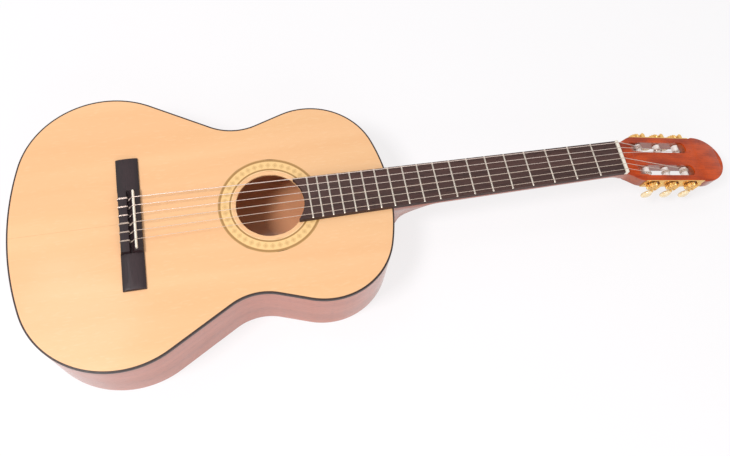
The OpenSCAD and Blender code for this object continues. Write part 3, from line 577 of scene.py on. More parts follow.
BRIDGE_SPAN = 0.058
TIE_HOLE_R, TIE_HOLE_Z, TIE_HOLE_L = 0.0011, 0.0044, 0.0145
string_count = 6
string_share = (np.arange(string_count) - 2.5) / 5
bridge_ys = string_share * BRIDGE_SPAN
tie_z = bridge_low.z + TIE_HOLE_Z
carve(bridge, *[rod((bridge_low.x - 0.002, y, tie_z), (bridge_low.x + TIE_HOLE_L, y, tie_z), TIE_HOLE_R)
                for y in bridge_ys])
rosewood = lacquered("dark_rosewood", colour(46, 28, 32), colour(26, 17, 20), 0.45, 0.08, bump=0.4,
                     turn=(0, 0, math.pi / 2), specular=0.35, Bands=60.0, Lines=300.0, Line_strength=0.25,
                     Band_strength=0.7, Pores=0.6)
finish_piece(bridge, rosewood, "dark_rosewood", "bridge")

# ---- Saddle ----
# A bar of white plastic that stands loose in the bridge's slot. Its top is rounded for the strings, and their
# pull holds it down.
saddle_low, saddle_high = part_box("saddle")
saddle_r = (saddle_high.x - saddle_low.x) / 2
saddle_x = (saddle_high.x + saddle_low.x) / 2
END_R = 0.001
top_a = np.linspace(math.pi, 0, 9)
saddle_top = np.stack([saddle_r * np.cos(top_a), saddle_high.z - saddle_r * (1 - np.sin(top_a))], 1)
saddle_section = np.concatenate([[(-saddle_r, saddle_low.z)], saddle_top, [(saddle_r, saddle_low.z)]])
saddle_y = np.array([0, 0.0003, END_R, 0.004, 0.01, 0.03]) - saddle_high.y
saddle_y = np.concatenate([saddle_y, [0], -saddle_y[::-1]])
shrink = np.sqrt(np.clip(1 - (1 - (saddle_high.y - np.abs(saddle_y)) / END_R).clip(0) ** 2, 0.25, 1))[:, None]
saddle_p = np.stack([saddle_x + saddle_section[:, 0] * shrink,
                     np.broadcast_to(saddle_y[:, None], (len(saddle_y), len(saddle_section))),
                     saddle_low.z + (saddle_section[:, 1] - saddle_low.z) * (0.97 + 0.03 * shrink)], 2)
ivory = plastic("ivory_plastic", colour(246, 238, 222), 0.3, mottle=0.02)
saddle = surface("saddle_bone", rings(saddle_p))
finish_piece(saddle, ivory, "ivory_plastic", "saddle")

# ---- Neck ----
# One length of mahogany, carved: heel, round-backed shaft, and the slotted head that leans back behind the
# nut. The heel is glued to the sides and block, and the whole neck is stained and lacquered like the sides.
nut_low, nut_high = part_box("nut")
HEAD_TILT, HEAD_UP = math.radians(15), 0.001
head_x = nut_high.x
NECK_L = head_x - joint_x
HALF_AT_JOINT, HALF_AT_BOARD_END, NUT_L = 0.029, 0.025, 0.005
DEPTH_AT_JOINT, DEPTH_AT_NUT = 0.017, 0.015
HEEL_L, FOOT_L, FOOT_HALF, FOOT_Z = 0.062, 0.015, 0.013, 0.0036
HEAD_T, FACE_T, HEAD_L, HEAD_HALF, EAR_HALF, CREST_L = 0.018, 0.002, 0.187, 0.035, 0.0365, 0.043
PLATE_FROM, PLATE_TO, EAR_AT = 0.0305, 0.1376, HEAD_L - CREST_L


def in_head(p):
    """Points (along the head, across, out of its face) turned and moved to where the head stands."""
    p = np.asarray(p, float)
    c, s = math.cos(HEAD_TILT), math.sin(HEAD_TILT)
    return np.stack([head_x + p[..., 0] * c + p[..., 2] * s, p[..., 1],
                     top_z + HEAD_UP - p[..., 0] * s + p[..., 2] * c], -1)


def neck_half(x):
    """Half width of neck and fingerboard: a straight taper from the body joint to the nut."""
    return HALF_AT_JOINT + (HALF_AT_BOARD_END - HALF_AT_JOINT) * (x - joint_x) / (NECK_L - NUT_L)


def swell(share):
    """Half a cosine wave from 0 to 1, for a width that starts and stops growing gently."""
    return (1 - np.cos(math.pi * np.clip(share, 0, 1))) / 2


def head_half(a):
    """Half width of the head: an S-curve out from the neck, straight sides, slight ears, elliptic crest."""
    start = neck_half(head_x)
    side = start + (HEAD_HALF - start) * swell(a / PLATE_FROM)
    side = side + (EAR_HALF - HEAD_HALF) * swell((a - PLATE_TO) / (EAR_AT - PLATE_TO))
    return side * np.sqrt(np.clip(1 - (np.clip(a - EAR_AT, 0, None) / CREST_L) ** 2, 0, 1))


# Stations along the neck. Each has a top and an underside point, a half width, how boxy its section is, and
# how far it follows the heel's flare.
depth_share = np.array([0, 0.08, 0.18, 0.28, 0.38, 0.48, 0.58, 0.67, 0.75, 0.82, 0.88, 0.92, 0.95, 0.97,
                        0.985, 0.995, 1])
joint_rows = np.array([0, 0.004, 0.009, 0.013, 0.0145, 0.016, 0.018, 0.021, 0.025, 0.030, 0.036, 0.042,
                       0.048, 0.054, 0.060, 0.064, 0.070, 0.085, 0.11, 0.15, 0.19, 0.23, 0.26, 0.28, 0.29,
                       0.30])
x = joint_x + joint_rows
depth = DEPTH_AT_JOINT + (DEPTH_AT_NUT - DEPTH_AT_JOINT) * joint_rows / NECK_L
bow = np.arccos(np.clip(1 - (joint_rows - FOOT_L) / (HEEL_L - FOOT_L), -1, 1))
heel_rise = top_z - DEPTH_AT_JOINT - FOOT_Z + 0.003
heel_under = FOOT_Z + heel_rise * np.sin(np.where(joint_rows < FOOT_L, 0, bow))
under = np.minimum(np.where(joint_rows < HEEL_L, heel_under, top_z), top_z - depth)
heel_share = np.clip(1 - (joint_rows - FOOT_L * 0.6) / (HEEL_L - FOOT_L * 0.6), 0, 1) ** 0.8
tops = np.stack([x, np.full(len(x), top_z)], 1)
unders = np.stack([x, under], 1)
halves, boxy = neck_half(x), 2.5 + 26 * heel_share ** 3
THROAT = [((0.311, 0.0), (0.3095, -0.0152), 3.0), ((0.319, 0.0), (0.3158, -0.0159), 4.5),
          ((0.3255, -0.0003), (0.3212, -0.0165), 8.0)]
throat_x = joint_x + np.array([t[0][0] for t in THROAT])
tops = np.concatenate([tops, [(joint_x + t[0][0], top_z + t[0][1]) for t in THROAT]])
unders = np.concatenate([unders, [(joint_x + t[1][0], top_z + t[1][1]) for t in THROAT]])
halves = np.concatenate([halves, neck_half(throat_x)])
boxy = np.concatenate([boxy, [t[2] for t in THROAT]])
crest_a = EAR_AT + CREST_L * np.sin(np.linspace(0, math.pi / 2 - 0.02, 22))
head_a = np.concatenate([[0, 0.004], np.linspace(0.008, PLATE_FROM, 10), [0.05, 0.08, 0.11],
                         np.linspace(PLATE_TO, EAR_AT, 5)[:-1], crest_a])
head_top = in_head(np.stack([head_a, 0 * head_a, 0 * head_a - FACE_T], 1))[:, ::2]
head_under = in_head(np.stack([head_a, 0 * head_a, 0 * head_a - HEAD_T], 1))[:, ::2]
tops, unders = np.concatenate([tops, head_top]), np.concatenate([unders, head_under])
halves = np.concatenate([halves, head_half(head_a)])
boxy = np.concatenate([boxy, np.minimum(12 + 2500 * head_a, 44)])
heel_share = np.concatenate([heel_share, np.zeros(len(tops) - len(heel_share))])
softness = 0.45 - 0.41 * np.clip((boxy - 2.5) / 20, 0, 1)

down = depth_share[None, :]
height = unders[:, 1:] * down + tops[:, 1:] * (1 - down)
foot_rows = np.concatenate([joint_rows, np.full(len(tops) - len(joint_rows), 1)])
foot_half = FOOT_HALF * (1 - 0.3 * np.clip(foot_rows / FOOT_L, 0, 1) ** 4)[:, None]
up_share = np.clip((height - FOOT_Z) / (top_z - 0.006 - FOOT_Z), 0, 1)
flare = (foot_half + (HALF_AT_JOINT - foot_half) * up_share ** 1.6) / HALF_AT_JOINT
width = (halves[:, None] * (1 + (flare - 1) * heel_share[:, None])
         * (1 - down ** boxy[:, None]) ** softness[:, None])
side_x = unders[:, :1] * down + tops[:, :1] * (1 - down)
tuck = SHOULDER_R - np.sqrt(SHOULDER_R ** 2 - width ** 2)
side_x = side_x - np.where(np.arange(len(tops))[:, None] == 0, tuck + 0.0004, 0)
right = np.stack([side_x, width, height], 2)
left = (right * (1, -1, 1))[:, ::-1][:, 1:]
neck_p = np.concatenate([right, left], 1)
neck = surface("neck_carved", rings(neck_p))

SLOT_W, WEB_W, SLOT_FROM, SLOT_TO = 0.017, 0.020, 0.0335, 0.1255
SLOT_LOW, SLOT_HIGH = -0.025, 0.006
slot_y = (WEB_W + SLOT_W) / 2


def slot_tool(side):
    """A round-ended bar through the head: a stadium outline, at two heights out of the face."""
    r = SLOT_W / 2
    a = np.linspace(-math.pi / 2, math.pi / 2, 17)
    right_end = np.stack([SLOT_TO - r + r * np.cos(a), r * np.sin(a)], 1)
    left_end = np.stack([SLOT_FROM + r - r * np.cos(a), -r * np.sin(a)], 1)
    plan = np.concatenate([right_end, left_end])
    return np.stack([in_head(at_height(plan + (0, side * slot_y), n)) for n in (SLOT_LOW, SLOT_HIGH)])


def ramp_tool(side):
    """The wedge that lets the strings down into a slot: a triangle in length and depth, carried across."""
    wedge = np.array([(SLOT_FROM - 0.012, 0.0005), (SLOT_FROM + 0.005, 0.0005), (SLOT_FROM + 0.005, -0.007)])
    half = (SLOT_W - 0.003) / 2
    return np.stack([in_head(np.column_stack([wedge[:, 0], np.full(3, side * slot_y + y), wedge[:, 1]]))
                     for y in (-half, half)])


def cut_slots(piece):
    """Saws both slots through a piece of the head, and then files a ramp down into each."""
    for tool in (slot_tool, ramp_tool):
        carve(piece, *[tool(side) for side in (-1, 1)])


roller_spots = {j["name"][5:]: np.array(j["pos_m"]) for j in frame["joints"] if j["name"].startswith("post_")}
AXLE_R, AXLE_IN = 0.0025, 0.006
BORE_ROOM, BORE_DEEPER, BORE_TO = 0.0001, 0.0003, 0.04
bores = []
for spot in roller_spots.values():
    side, hub = np.sign(spot[1]), spot * (1, 0, 1)
    bores.append(rod(hub + (0, side * (WEB_W / 2 - AXLE_IN - BORE_DEEPER), 0), hub + (0, side * BORE_TO, 0),
                     AXLE_R + BORE_ROOM))
cut_slots(neck)
carve(neck, *bores)
neck_wood = lacquered("neck_mahogany", colour(178, 90, 54), colour(124, 52, 28), 0.3, 0.5,
                      Bands=45.0, Lines=210.0, Line_strength=0.12, Band_strength=0.6, Pores=0.5)
finish_piece(neck, neck_wood, "neck_wood", "neck")

# ---- Heel cap ----
# A slip of dark rosewood glued under the foot of the heel and rounded with it.
cap_low, cap_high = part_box("heel_cap")
plan_x = np.array([0, 0.004, 0.008, 0.011, 0.013, 0.0142, 0.015])
plan_y = FOOT_HALF * (1 - 0.3 * (plan_x / FOOT_L) ** 4)
tuck = SHOULDER_R - np.sqrt(SHOULDER_R ** 2 - plan_y[0] ** 2)
plan = np.stack([joint_x + plan_x - np.where(plan_x == 0, tuck, 0), plan_y], 1)
plan = np.concatenate([plan, plan[::-1] * (1, -1)])
mid = np.array([joint_x + FOOT_L / 2, 0])
cap_layers = [(0.94, cap_low.z), (0.985, cap_low.z + 0.0003), (1, cap_low.z + 0.0008), (1, cap_high.z)]
cap_p = np.stack([at_height(mid + (plan - mid) * f, z) for f, z in cap_layers])
heel_cap = surface("heel_cap_slip", rings(cap_p))
finish_piece(heel_cap, rosewood, "dark_rosewood", "heel_cap")

# ---- Head face ----
# A thin facing of red-brown hardwood glued over the head, sawn through with the slots, and lacquered to a
# high gloss. Nothing is inlaid or printed on it.
FACE_EDGE = 0.0005
face_section = [(0, -FACE_T), (0, -FACE_EDGE), (0.3 * FACE_EDGE, -0.3 * FACE_EDGE), (FACE_EDGE, 0)]
face_half = head_half(head_a)
face_plans = [(np.column_stack([head_a, np.maximum(face_half - d, 0.0002)]), n) for d, n in face_section]
face_right = np.stack([at_height(plan, n) for plan, n in face_plans], 1)
face_p = np.concatenate([face_right, (face_right * (1, -1, 1))[:, ::-1]], 1)
head_face = surface("head_facing", rings(in_head(face_p)))
cut_slots(head_face)
facing = lacquered("head_facing_wood", colour(216, 80, 4), colour(150, 43, 1), 0.3, 0.1, specular=0.2,
                   Bands=70.0, Lines=260.0, Line_strength=0.18, Band_strength=0.85, Pores=0.35)
finish_piece(head_face, facing, "face_veneer", "head_plate")

# ---- Fingerboard ----
# A flat board of dark rosewood glued on top of neck and soundboard, running out over the soundboard to the
# edge of the hole, where its end is cut to the same curve. It is oiled, not lacquered.
finger_low, finger_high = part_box("fingerboard")
board_low_x, board_end, board_top = finger_low.x, finger_high.x, finger_high.z
share = np.sin(np.linspace(-math.pi / 2, math.pi / 2, 61))
BOARD_EDGE = 0.0004
cut_y = share * neck_half(board_low_x)
start = hole_centre[0] + np.sqrt(np.clip(HOLE_R ** 2 - cut_y ** 2, 0, None))
start = np.where(np.abs(cut_y) < HOLE_R, np.maximum(start, board_low_x), board_low_x)
board_section = [(0, top_z), (0, board_top - BOARD_EDGE), (0.00012, board_top - 0.00012),
                 (BOARD_EDGE, board_top)]
flat = np.zeros(len(share))
near = [np.column_stack([start + d, flat, flat + z]) for d, z in board_section]
far = [np.column_stack([flat + board_end, flat, flat + z]) for _, z in board_section[::-1]]
board_p = np.stack(near + far, 1)
edge_drop = np.array([0.0, 0.0, BOARD_EDGE * 0.3, BOARD_EDGE])
drop = np.concatenate([edge_drop, edge_drop[::-1]])
board_p[..., 1] = share[:, None] * (neck_half(board_p[..., 0]) - drop)
fingerboard = surface("fingerboard_blank", rings(board_p))
fingerwood = lacquered("fingerboard_rosewood", colour(80, 55, 50), colour(45, 28, 26), 0.5, 0.0, bump=0.5,
                       specular=0.3, Bands=60.0, Lines=320.0, Line_strength=0.2, Band_strength=0.75,
                       Pores=0.7)
finish_piece(fingerboard, fingerwood, "dark_rosewood", "fingerboard")

# ---- Frets ----
# Nineteen lengths of nickel silver wire with a half-round crown, hammered into sawn slots, their ends filed
# off at a slant and flush with the board.
SCALE_L, FRET_COUNT, CROWN_W, CROWN_H = 0.650, 19, 0.0024, 0.001
fret_at = board_end - SCALE_L * (1 - 2 ** (-np.arange(1, FRET_COUNT + 1) / 12))
crown_a = np.linspace(math.pi, 0, 9)
fret_rows = np.array([-1, -0.995, -0.975, -0.95, 0, 0.95, 0.975, 0.995, 1.0])
fret_height = np.array([0.15, 0.55, 0.9, 1, 1, 1, 0.9, 0.55, 0.15])
END_INSET, FRET_SUNK = 0.0002, 0.00005
fret_grids = []
for fx in fret_at:
    half = neck_half(fx) - END_INSET
    across = fx + CROWN_W / 2 * np.cos(crown_a) * np.ones((len(fret_rows), 1))
    up = board_top - FRET_SUNK + CROWN_H * np.sin(crown_a) * fret_height[:, None]
    fret_grids.append(rings(np.stack([across, fret_rows[:, None] * half + 0 * across, up], 2)))
frets = surface("fret_wires", *fret_grids)


def metal(name, tone, roughness, scratch=0.08, along=(40, 3000, 3000)):
    """Polished metal: its own colour, fine rubbing marks along one axis, and small changes of gloss."""
    material, tree, shader = tree_of(name)
    place = wire(tree, "TexCoord").outputs["Object"]
    haze = noise(tree, place, 300.0, 3.0)
    marks = noise(tree, stretched(tree, place, *along))
    wear = math_of(tree, "MULTIPLY_ADD", haze, 0.5, math_of(tree, "MULTIPLY", marks, 0.5))
    join(shader, Base_Color=mix(tree, haze, tone, tuple(np.array(tone) * 0.8)), Metallic=1.0,
         Roughness=band(tree, wear, 0, 1, roughness * 0.6, roughness * 1.5))
    relief(shader, marks, scratch, 0.00005)
    return material


fret_metal = metal("fret_metal", colour(214, 204, 192), 0.34, along=(3000, 40, 3000))
finish_piece(frets, fret_metal, "fret_metal", "frets")

# ---- Nut ----
# A bar of white plastic glued across the end of the fingerboard, with six notches filed for the strings and
# its back edge rounded down towards the head.
STRING_R = np.array([0.36, 0.41, 0.51, 0.37, 0.44, 0.55]) * MM
NUT_SPAN, NUT_LIFT = 0.042, 0.0014
nut_ys = string_share * NUT_SPAN
nut_zs = board_top + NUT_LIFT + STRING_R
nut_l = nut_high.x - nut_low.x
nut_a = np.linspace(math.pi / 2, 0, 7)
NUT_BACK_R = 0.0022
nut_back = np.stack([nut_l - NUT_BACK_R * (1 - np.cos(nut_a)),
                     nut_high.z - NUT_BACK_R * (1 - np.sin(nut_a))], 1)
nut_section = np.concatenate([
    [(0, nut_low.z), (0, nut_high.z - 0.0003), (0.0003, nut_high.z)], nut_back, [(nut_l, nut_low.z)]])
nut_y = np.array([-1, -0.992, -0.975, 0.975, 0.992, 1]) * nut_high.y
nut_squash = np.array([0.965, 0.99, 1, 1, 0.99, 0.965])[:, None]
nut_p = np.stack([nut_low.x + nut_section[:, 0] + 0 * nut_squash, nut_y[:, None] + 0 * nut_section[:, 0],
                  nut_low.z + (nut_section[:, 1] - nut_low.z) * nut_squash], 2)
nut = surface("nut_bar", rings(nut_p))
NOTCH_ROOM, NOTCH_UP, NOTCH_PAST = 0.00006, 0.004, 0.001


def notch_tool(y, z, r):
    """A keyhole bar along X: the lower half of a circle of radius r with straight sides up out of the nut."""
    a = np.linspace(math.pi, 2 * math.pi, 9)
    below = np.stack([y + r * np.cos(a), z + r * np.sin(a)], 1)
    ring = np.concatenate([[(y - r, z + NOTCH_UP)], below, [(y + r, z + NOTCH_UP)]])
    return np.stack([np.column_stack([np.full(len(ring), x), ring])
                     for x in (nut_low.x - NOTCH_PAST, nut_high.x + NOTCH_PAST)])


carve(nut, *[notch_tool(y, z, r + NOTCH_ROOM) for y, z, r in zip(nut_ys, nut_zs, STRING_R)])
finish_piece(nut, ivory, "ivory_plastic", "nut")

# ---- Side plates and screws ----
# One strip of gold-plated steel a side, stamped with windows and bent-out ears that hold the worms, and
# held to the head by four slotted screws.
gilt = metal("gilt_metal", colour(240, 196, 124), 0.34, along=(60, 3000, 3000))
dress(gilt, "side_plate_bass", "side_plate_treble", "plate_screws")

# ---- Worms ----
# A steel shaft a string, gold-plated, with a screw thread cut in its middle that drives the gear. It runs
# in the side plate's two ears, and its lower end holds the button.
key_spots = {j["name"][4:]: np.array(j["pos_m"]) for j in frame["joints"] if j["name"].startswith("key_")}
SHAFT_R, WORM_HALF, LUG_IN, LUG_T, BUTTON_GAP, BUTTON_BORE = 0.0016, 0.0056, 0.0058, 0.0024, 0.005, 0.011
WORM_R, THREAD_H, GEAR_R, TOOTH_H, TEETH = 0.0022, 0.001, 0.008, 0.0016, 14
head_out = np.array([math.sin(HEAD_TILT), 0, math.cos(HEAD_TILT)])
head_along = np.array([math.cos(HEAD_TILT), 0, -math.sin(HEAD_TILT)])
across_axis = np.array([0.0, 1.0, 0.0])
THREAD_PITCH = 2 * math.pi * (GEAR_R - TOOTH_H / 2) / TEETH


def about_axis(profile, origin, axis, first, second, radii=None, sides=40):
    """Turns (radius, place along the axis) pairs about an axis through origin. radii, if given, is a grid of
    radii that replaces the profile's."""
    a = whole_turn(sides)
    profile = np.array(profile)
    r = profile[:, :1] * np.ones(sides) if radii is None else radii
    round_a = np.cos(a)[:, None] * first + np.sin(a)[:, None] * second
    return origin + profile[:, 1][:, None, None] * axis + r[..., None] * round_a


WORM_SIDES, FLANK_STEEP, RIDGE_WIDE, RUN_OUT = 40, 5.2, 1.9, 0.0006
thread_h = np.linspace(-WORM_HALF, WORM_HALF, 57)
thread_a = whole_turn(WORM_SIDES)
# The valley that faces the gear sits level with the gear's axis, and the thread rises to the right.
phase = (thread_h[:, None] / THREAD_PITCH - (thread_a[None, :] - math.pi) / (2 * math.pi) + 0.5) % 1.0
ridge = np.clip(RIDGE_WIDE - FLANK_STEEP * np.abs(phase - np.round(phase)), 0, 1)
taper = np.clip((WORM_HALF - np.abs(thread_h)) / RUN_OUT, 0, 1)[:, None]
tail, top = LUG_IN + LUG_T + BUTTON_GAP + BUTTON_BORE, LUG_IN + LUG_T + 0.0004
plain_low = np.array([(0.0001, -tail), (SHAFT_R - 0.0002, -tail), (SHAFT_R, -tail + 0.0002),
                      (SHAFT_R, -WORM_HALF)])
plain_high = np.array([(SHAFT_R, WORM_HALF), (SHAFT_R, top - 0.0003), (SHAFT_R - 0.0003, top),
                       (0.0001, top)])
places = np.concatenate([plain_low[:, 1], thread_h, plain_high[:, 1]])
worm_r = np.concatenate([plain_low[:, :1] * np.ones(WORM_SIDES), WORM_R + THREAD_H * ridge * taper,
                         plain_high[:, :1] * np.ones(WORM_SIDES)])
for n, spot in key_spots.items():
    points = about_axis(np.stack([places, places], 1), spot, head_out, head_along, across_axis, worm_r)
    worm = surface("worm_screw_" + n, rings(points))
    finish_piece(worm, gilt, "gilt_metal", "worm_" + n, body="tuning_key_" + n)

# ---- Buttons ----
# A flat moulded plastic knob with the cloudy yellow of imitation pearl, pressed and glued on the worm's
# shaft.
BUTTON_L = 0.0185
pearl, tree, shader = tree_of("pearl_plastic")
swirl = noise(tree, wire(tree, "TexCoord").outputs["Object"], 260.0, Distortion=1.6)
join(shader, Roughness=0.2, Coat_Weight=0.6, Base_Color=ramp(
    tree, swirl, (0.3, colour(238, 206, 150)), (0.5, colour(248, 224, 176)), (0.68, colour(252, 238, 206))))
relief(shader, swirl, 0.06, 0.0001)
down_l = BUTTON_L * np.array([0, 0.01, 0.03, 0.12, 0.20, 0.26, 0.34, 0.44, 0.55, 0.66, 0.76, 0.85, 0.91,
                              0.955, 0.985, 1])
wide = np.interp(down_l / BUTTON_L, [0, 0.01, 0.03, 0.12, 0.2, 0.3, 0.45, 0.6, 0.8, 0.9, 0.955, 0.985, 1],
                 np.array([0.0026, 0.003, 0.0031, 0.0031, 0.0036, 0.0056, 0.0072, 0.0075, 0.0073, 0.0064,
                           0.005, 0.0034, 0.0012]))
thick = np.interp(down_l / BUTTON_L, [0, 0.01, 0.03, 0.2, 0.32, 0.6, 0.85, 0.955, 0.985, 1],
                  np.array([0.0026, 0.003, 0.0031, 0.003, 0.0026, 0.0031, 0.003, 0.0024, 0.0016, 0.0006]))
ring_a = whole_turn(36)
squareness = np.clip((down_l - 0.003) / 0.004, 0, 1) * 0.35
power = (1 - squareness)[:, None]
c, s = np.cos(ring_a), np.sin(ring_a)
wide_p = wide[:, None] * np.sign(c) * np.abs(c) ** power
thick_p = thick[:, None] * np.sign(s) * np.abs(s) ** power
for n, spot in key_spots.items():
    start = spot - head_out * (LUG_IN + LUG_T + BUTTON_GAP)
    points = (start - down_l[:, None, None] * head_out + wide_p[..., None] * head_along
              + thick_p[..., None] * across_axis)
    button = surface("pearl_button_" + n, rings(points))
    finish_piece(button, pearl, "pearl_button", "button_" + n, body="tuning_key_" + n, crease=60)

# ---- Gears ----
# A cut gold-plated gear on the squared end of each roller's axle, held by a slotted screw.
GEAR_T, SCREW_R, SCREW_H, PLATE_OUT, GEAR_GAP = 0.0044, 0.0028, 0.0012, 0.0362, 0.0012
EDGE_W, EDGE_DROP, SLIT_HALF_W, SLIT_HALF_L = 0.0004, 0.0009, 0.00035, 0.0032
tooth_steps = np.array([-0.5, -0.34, -0.29, -0.17, -0.12, 0.12, 0.17, 0.29, 0.34])
tooth_reach = np.array([0, 0, 0.3, 0.9, 1, 1, 0.9, 0.3, 0])
tooth_a = (np.arange(TEETH)[:, None] + tooth_steps).ravel() * 2 * math.pi / TEETH
tooth_r = GEAR_R - TOOTH_H * (1 - np.tile(tooth_reach, TEETH))
for n, spot in roller_spots.items():
    side = np.sign(spot[1])
    hub = spot * (1, 0, 1)
    near_y, far_y = PLATE_OUT + GEAR_GAP, PLATE_OUT + GEAR_GAP + GEAR_T
    gear_rows = [(0.6, near_y), (1, near_y + EDGE_W), (1, far_y - EDGE_W), (0.6, far_y)]
    ring = np.cos(tooth_a)[:, None] * head_along + np.sin(tooth_a)[:, None] * head_out
    rows = [hub + side * y * across_axis + ring * (tooth_r - (1 - f) * EDGE_DROP)[:, None]
            for f, y in gear_rows]
    dish = [(0.0052, far_y), (0.0048, far_y - 0.0006), (0.0034, far_y - 0.0006), (0.0030, far_y)]
    inner = [hub + side * y * across_axis + ring * r for r, y in dish]
    screw_profile = [(SCREW_R, far_y - 0.0002), (SCREW_R, far_y + SCREW_H * 0.55),
                     (SCREW_R * 0.86, far_y + SCREW_H * 0.85), (SCREW_R * 0.55, far_y + SCREW_H),
                     (0.0001, far_y + SCREW_H)]
    screw = about_axis(screw_profile, hub, side * across_axis, head_along, head_out)
    gear = surface("gear_wheel_" + n, rings(np.stack(rows + inner)), rings(screw))
    slit = np.array([(-1, 0.55), (1, 0.55), (1, 1.3), (-1, 1.3)])
    slit_p = np.stack([hub + side * (far_y + slit[:, 1:] * SCREW_H) * across_axis
                       + head_out * (slit[:, :1] * SLIT_HALF_W) + head_along * e
                       for e in (-SLIT_HALF_L, SLIT_HALF_L)])
    carve(gear, slit_p)
    finish_piece(gear, gilt, "gilt_metal", "gear_" + n, body="string_post_" + n)

# ---- Rollers ----
# A white plastic sleeve moulded on a steel axle. The string goes through a hole across it, and the gear
# sits on the axle's outer end.
ROLLER_R, SIDE_GAP, BEVEL, RIM_W, RIM_H = 0.005, 0.0006, 0.0004, 0.0012, 0.0003
STRING_HOLE_R, STRING_HOLE_HALF, HOLE_PAST_COIL = 0.0009, 0.007, 0.0034
COIL_AT = {"1": 0.0205, "2": 0.0175, "3": 0.0155, "4": 0.0155, "5": 0.0175, "6": 0.0205}
roller_plastic = plastic("roller_plastic", colour(252, 246, 240), 0.28, mottle=0.02, coat=0.3)
for n, spot in roller_spots.items():
    side = np.sign(spot[1])
    hub = spot * (1, 0, 1)
    y0, y1 = WEB_W / 2 + SIDE_GAP, WEB_W / 2 + SLOT_W - SIDE_GAP
    rim_to = RIM_W + RIM_H
    sleeve = [(AXLE_R, WEB_W / 2 - AXLE_IN), (AXLE_R, y0), (ROLLER_R - BEVEL, y0), (ROLLER_R, y0 + BEVEL),
              (ROLLER_R, y0 + RIM_W), (ROLLER_R - RIM_H, y0 + rim_to), (ROLLER_R - RIM_H, y1 - rim_to),
              (ROLLER_R, y1 - RIM_W), (ROLLER_R, y1 - BEVEL), (ROLLER_R - BEVEL, y1), (AXLE_R, y1),
              (AXLE_R, PLATE_OUT + GEAR_GAP - 0.0001)]
    roller = surface("roller_sleeve_" + n,
                     rings(about_axis(sleeve, hub, side * across_axis, head_along, head_out)))
    hole = hub + (0, side * (COIL_AT[n] + HOLE_PAST_COIL), 0)
    reach = STRING_HOLE_HALF * head_out
    carve(roller, rod(hole - reach, hole + reach, STRING_HOLE_R, 16))
    finish_piece(roller, roller_plastic, "roller_plastic", "roller_" + n, body="string_post_" + n)

# ---- Strings ----
# Three plain nylon trebles and three basses of nylon floss wound with silvered wire. Each is tied round the
# bridge's tie block, passes over saddle and nut, and winds on its roller.
SADDLE_TOP = saddle_high.z
COIL_GAP, COIL_TURNS = 0.0003, 4


def eased(path, bend, steps=5):
    """A path of straight runs with each corner replaced by a parabola that starts and ends `bend` from it."""
    path = np.asarray(path, float)
    before = path[1:-1] - path[:-2]
    after = path[2:] - path[1:-1]
    before_l, after_l = np.linalg.norm(before, axis=1), np.linalg.norm(after, axis=1)
    cut = np.minimum(bend, 0.45 * np.minimum(before_l, after_l))[:, None]
    start, end = path[1:-1] - before / before_l[:, None] * cut, path[1:-1] + after / after_l[:, None] * cut
    t = np.linspace(0, 1, steps)[None, :, None]
    curve = (1 - t) ** 2 * start[:, None] + 2 * t * (1 - t) * path[1:-1, None] + t ** 2 * end[:, None]
    return np.concatenate([path[:1], curve.reshape(-1, 3), path[-1:]])


def tube(path, radius, sides=10):
    """A round tube along a path: rings square to the path, each lined up on its own against the Y axis."""
    ahead = np.gradient(path, axis=0)
    ahead /= np.linalg.norm(ahead, axis=1)[:, None]
    reference = np.array([0.0, 1.0, 0.0])
    side = np.cross(reference, ahead)
    side /= np.linalg.norm(side, axis=1)[:, None]
    up = np.cross(ahead, side)
    a = whole_turn(sides)
    ring = np.cos(a)[:, None] * side[:, None, :] + np.sin(a)[:, None] * up[:, None, :]
    along = edge_length(path)
    uv = np.stack(np.meshgrid(along, np.linspace(0, 2 * math.pi * radius, sides + 1), indexing="ij"), 2)
    return path[:, None, :] + radius * ring, False, True, uv, True


nylon, tree, shader = tree_of("clear_nylon")
cloud = noise(tree, wire(tree, "TexCoord").outputs["Object"], 120.0)
join(shader, Base_Color=mix(tree, cloud, colour(236, 216, 200), colour(216, 194, 178)), Roughness=0.25,
     Coat_Weight=0.4, Alpha=0.55)
WIRE_PITCH = 0.00022
wound, tree, shader = tree_of("wound_wire")
run = wire(tree, "SeparateXYZ", _0=wire(tree, "UVMap").outputs[0])
turn = math_of(tree, "FRACT", math_of(tree, "MULTIPLY", run.outputs["X"], 1 / WIRE_PITCH))
round_turn = math_of(tree, "PINGPONG", turn, 0.5)
# Each wire turn is painted dark towards the grooves between turns and light on its crest: painted shade in
# the grooves.
winding_groove_shade = mix(tree, math_of(tree, "MULTIPLY", round_turn, 2.0), colour(170, 146, 136), colour(240, 224, 214))
join(shader, Base_Color=winding_groove_shade, Metallic=0.8, Roughness=0.35)
relief(shader, round_turn, 0.5, 0.00006)
TIE_REAR, RAMP_X = bridge_low.x + 0.0015, bridge_low.x + 0.0125
KNOT_OFF, KNOT_STEP_X, KNOT_STEP_Z = 0.0012, 0.0011, 0.00144
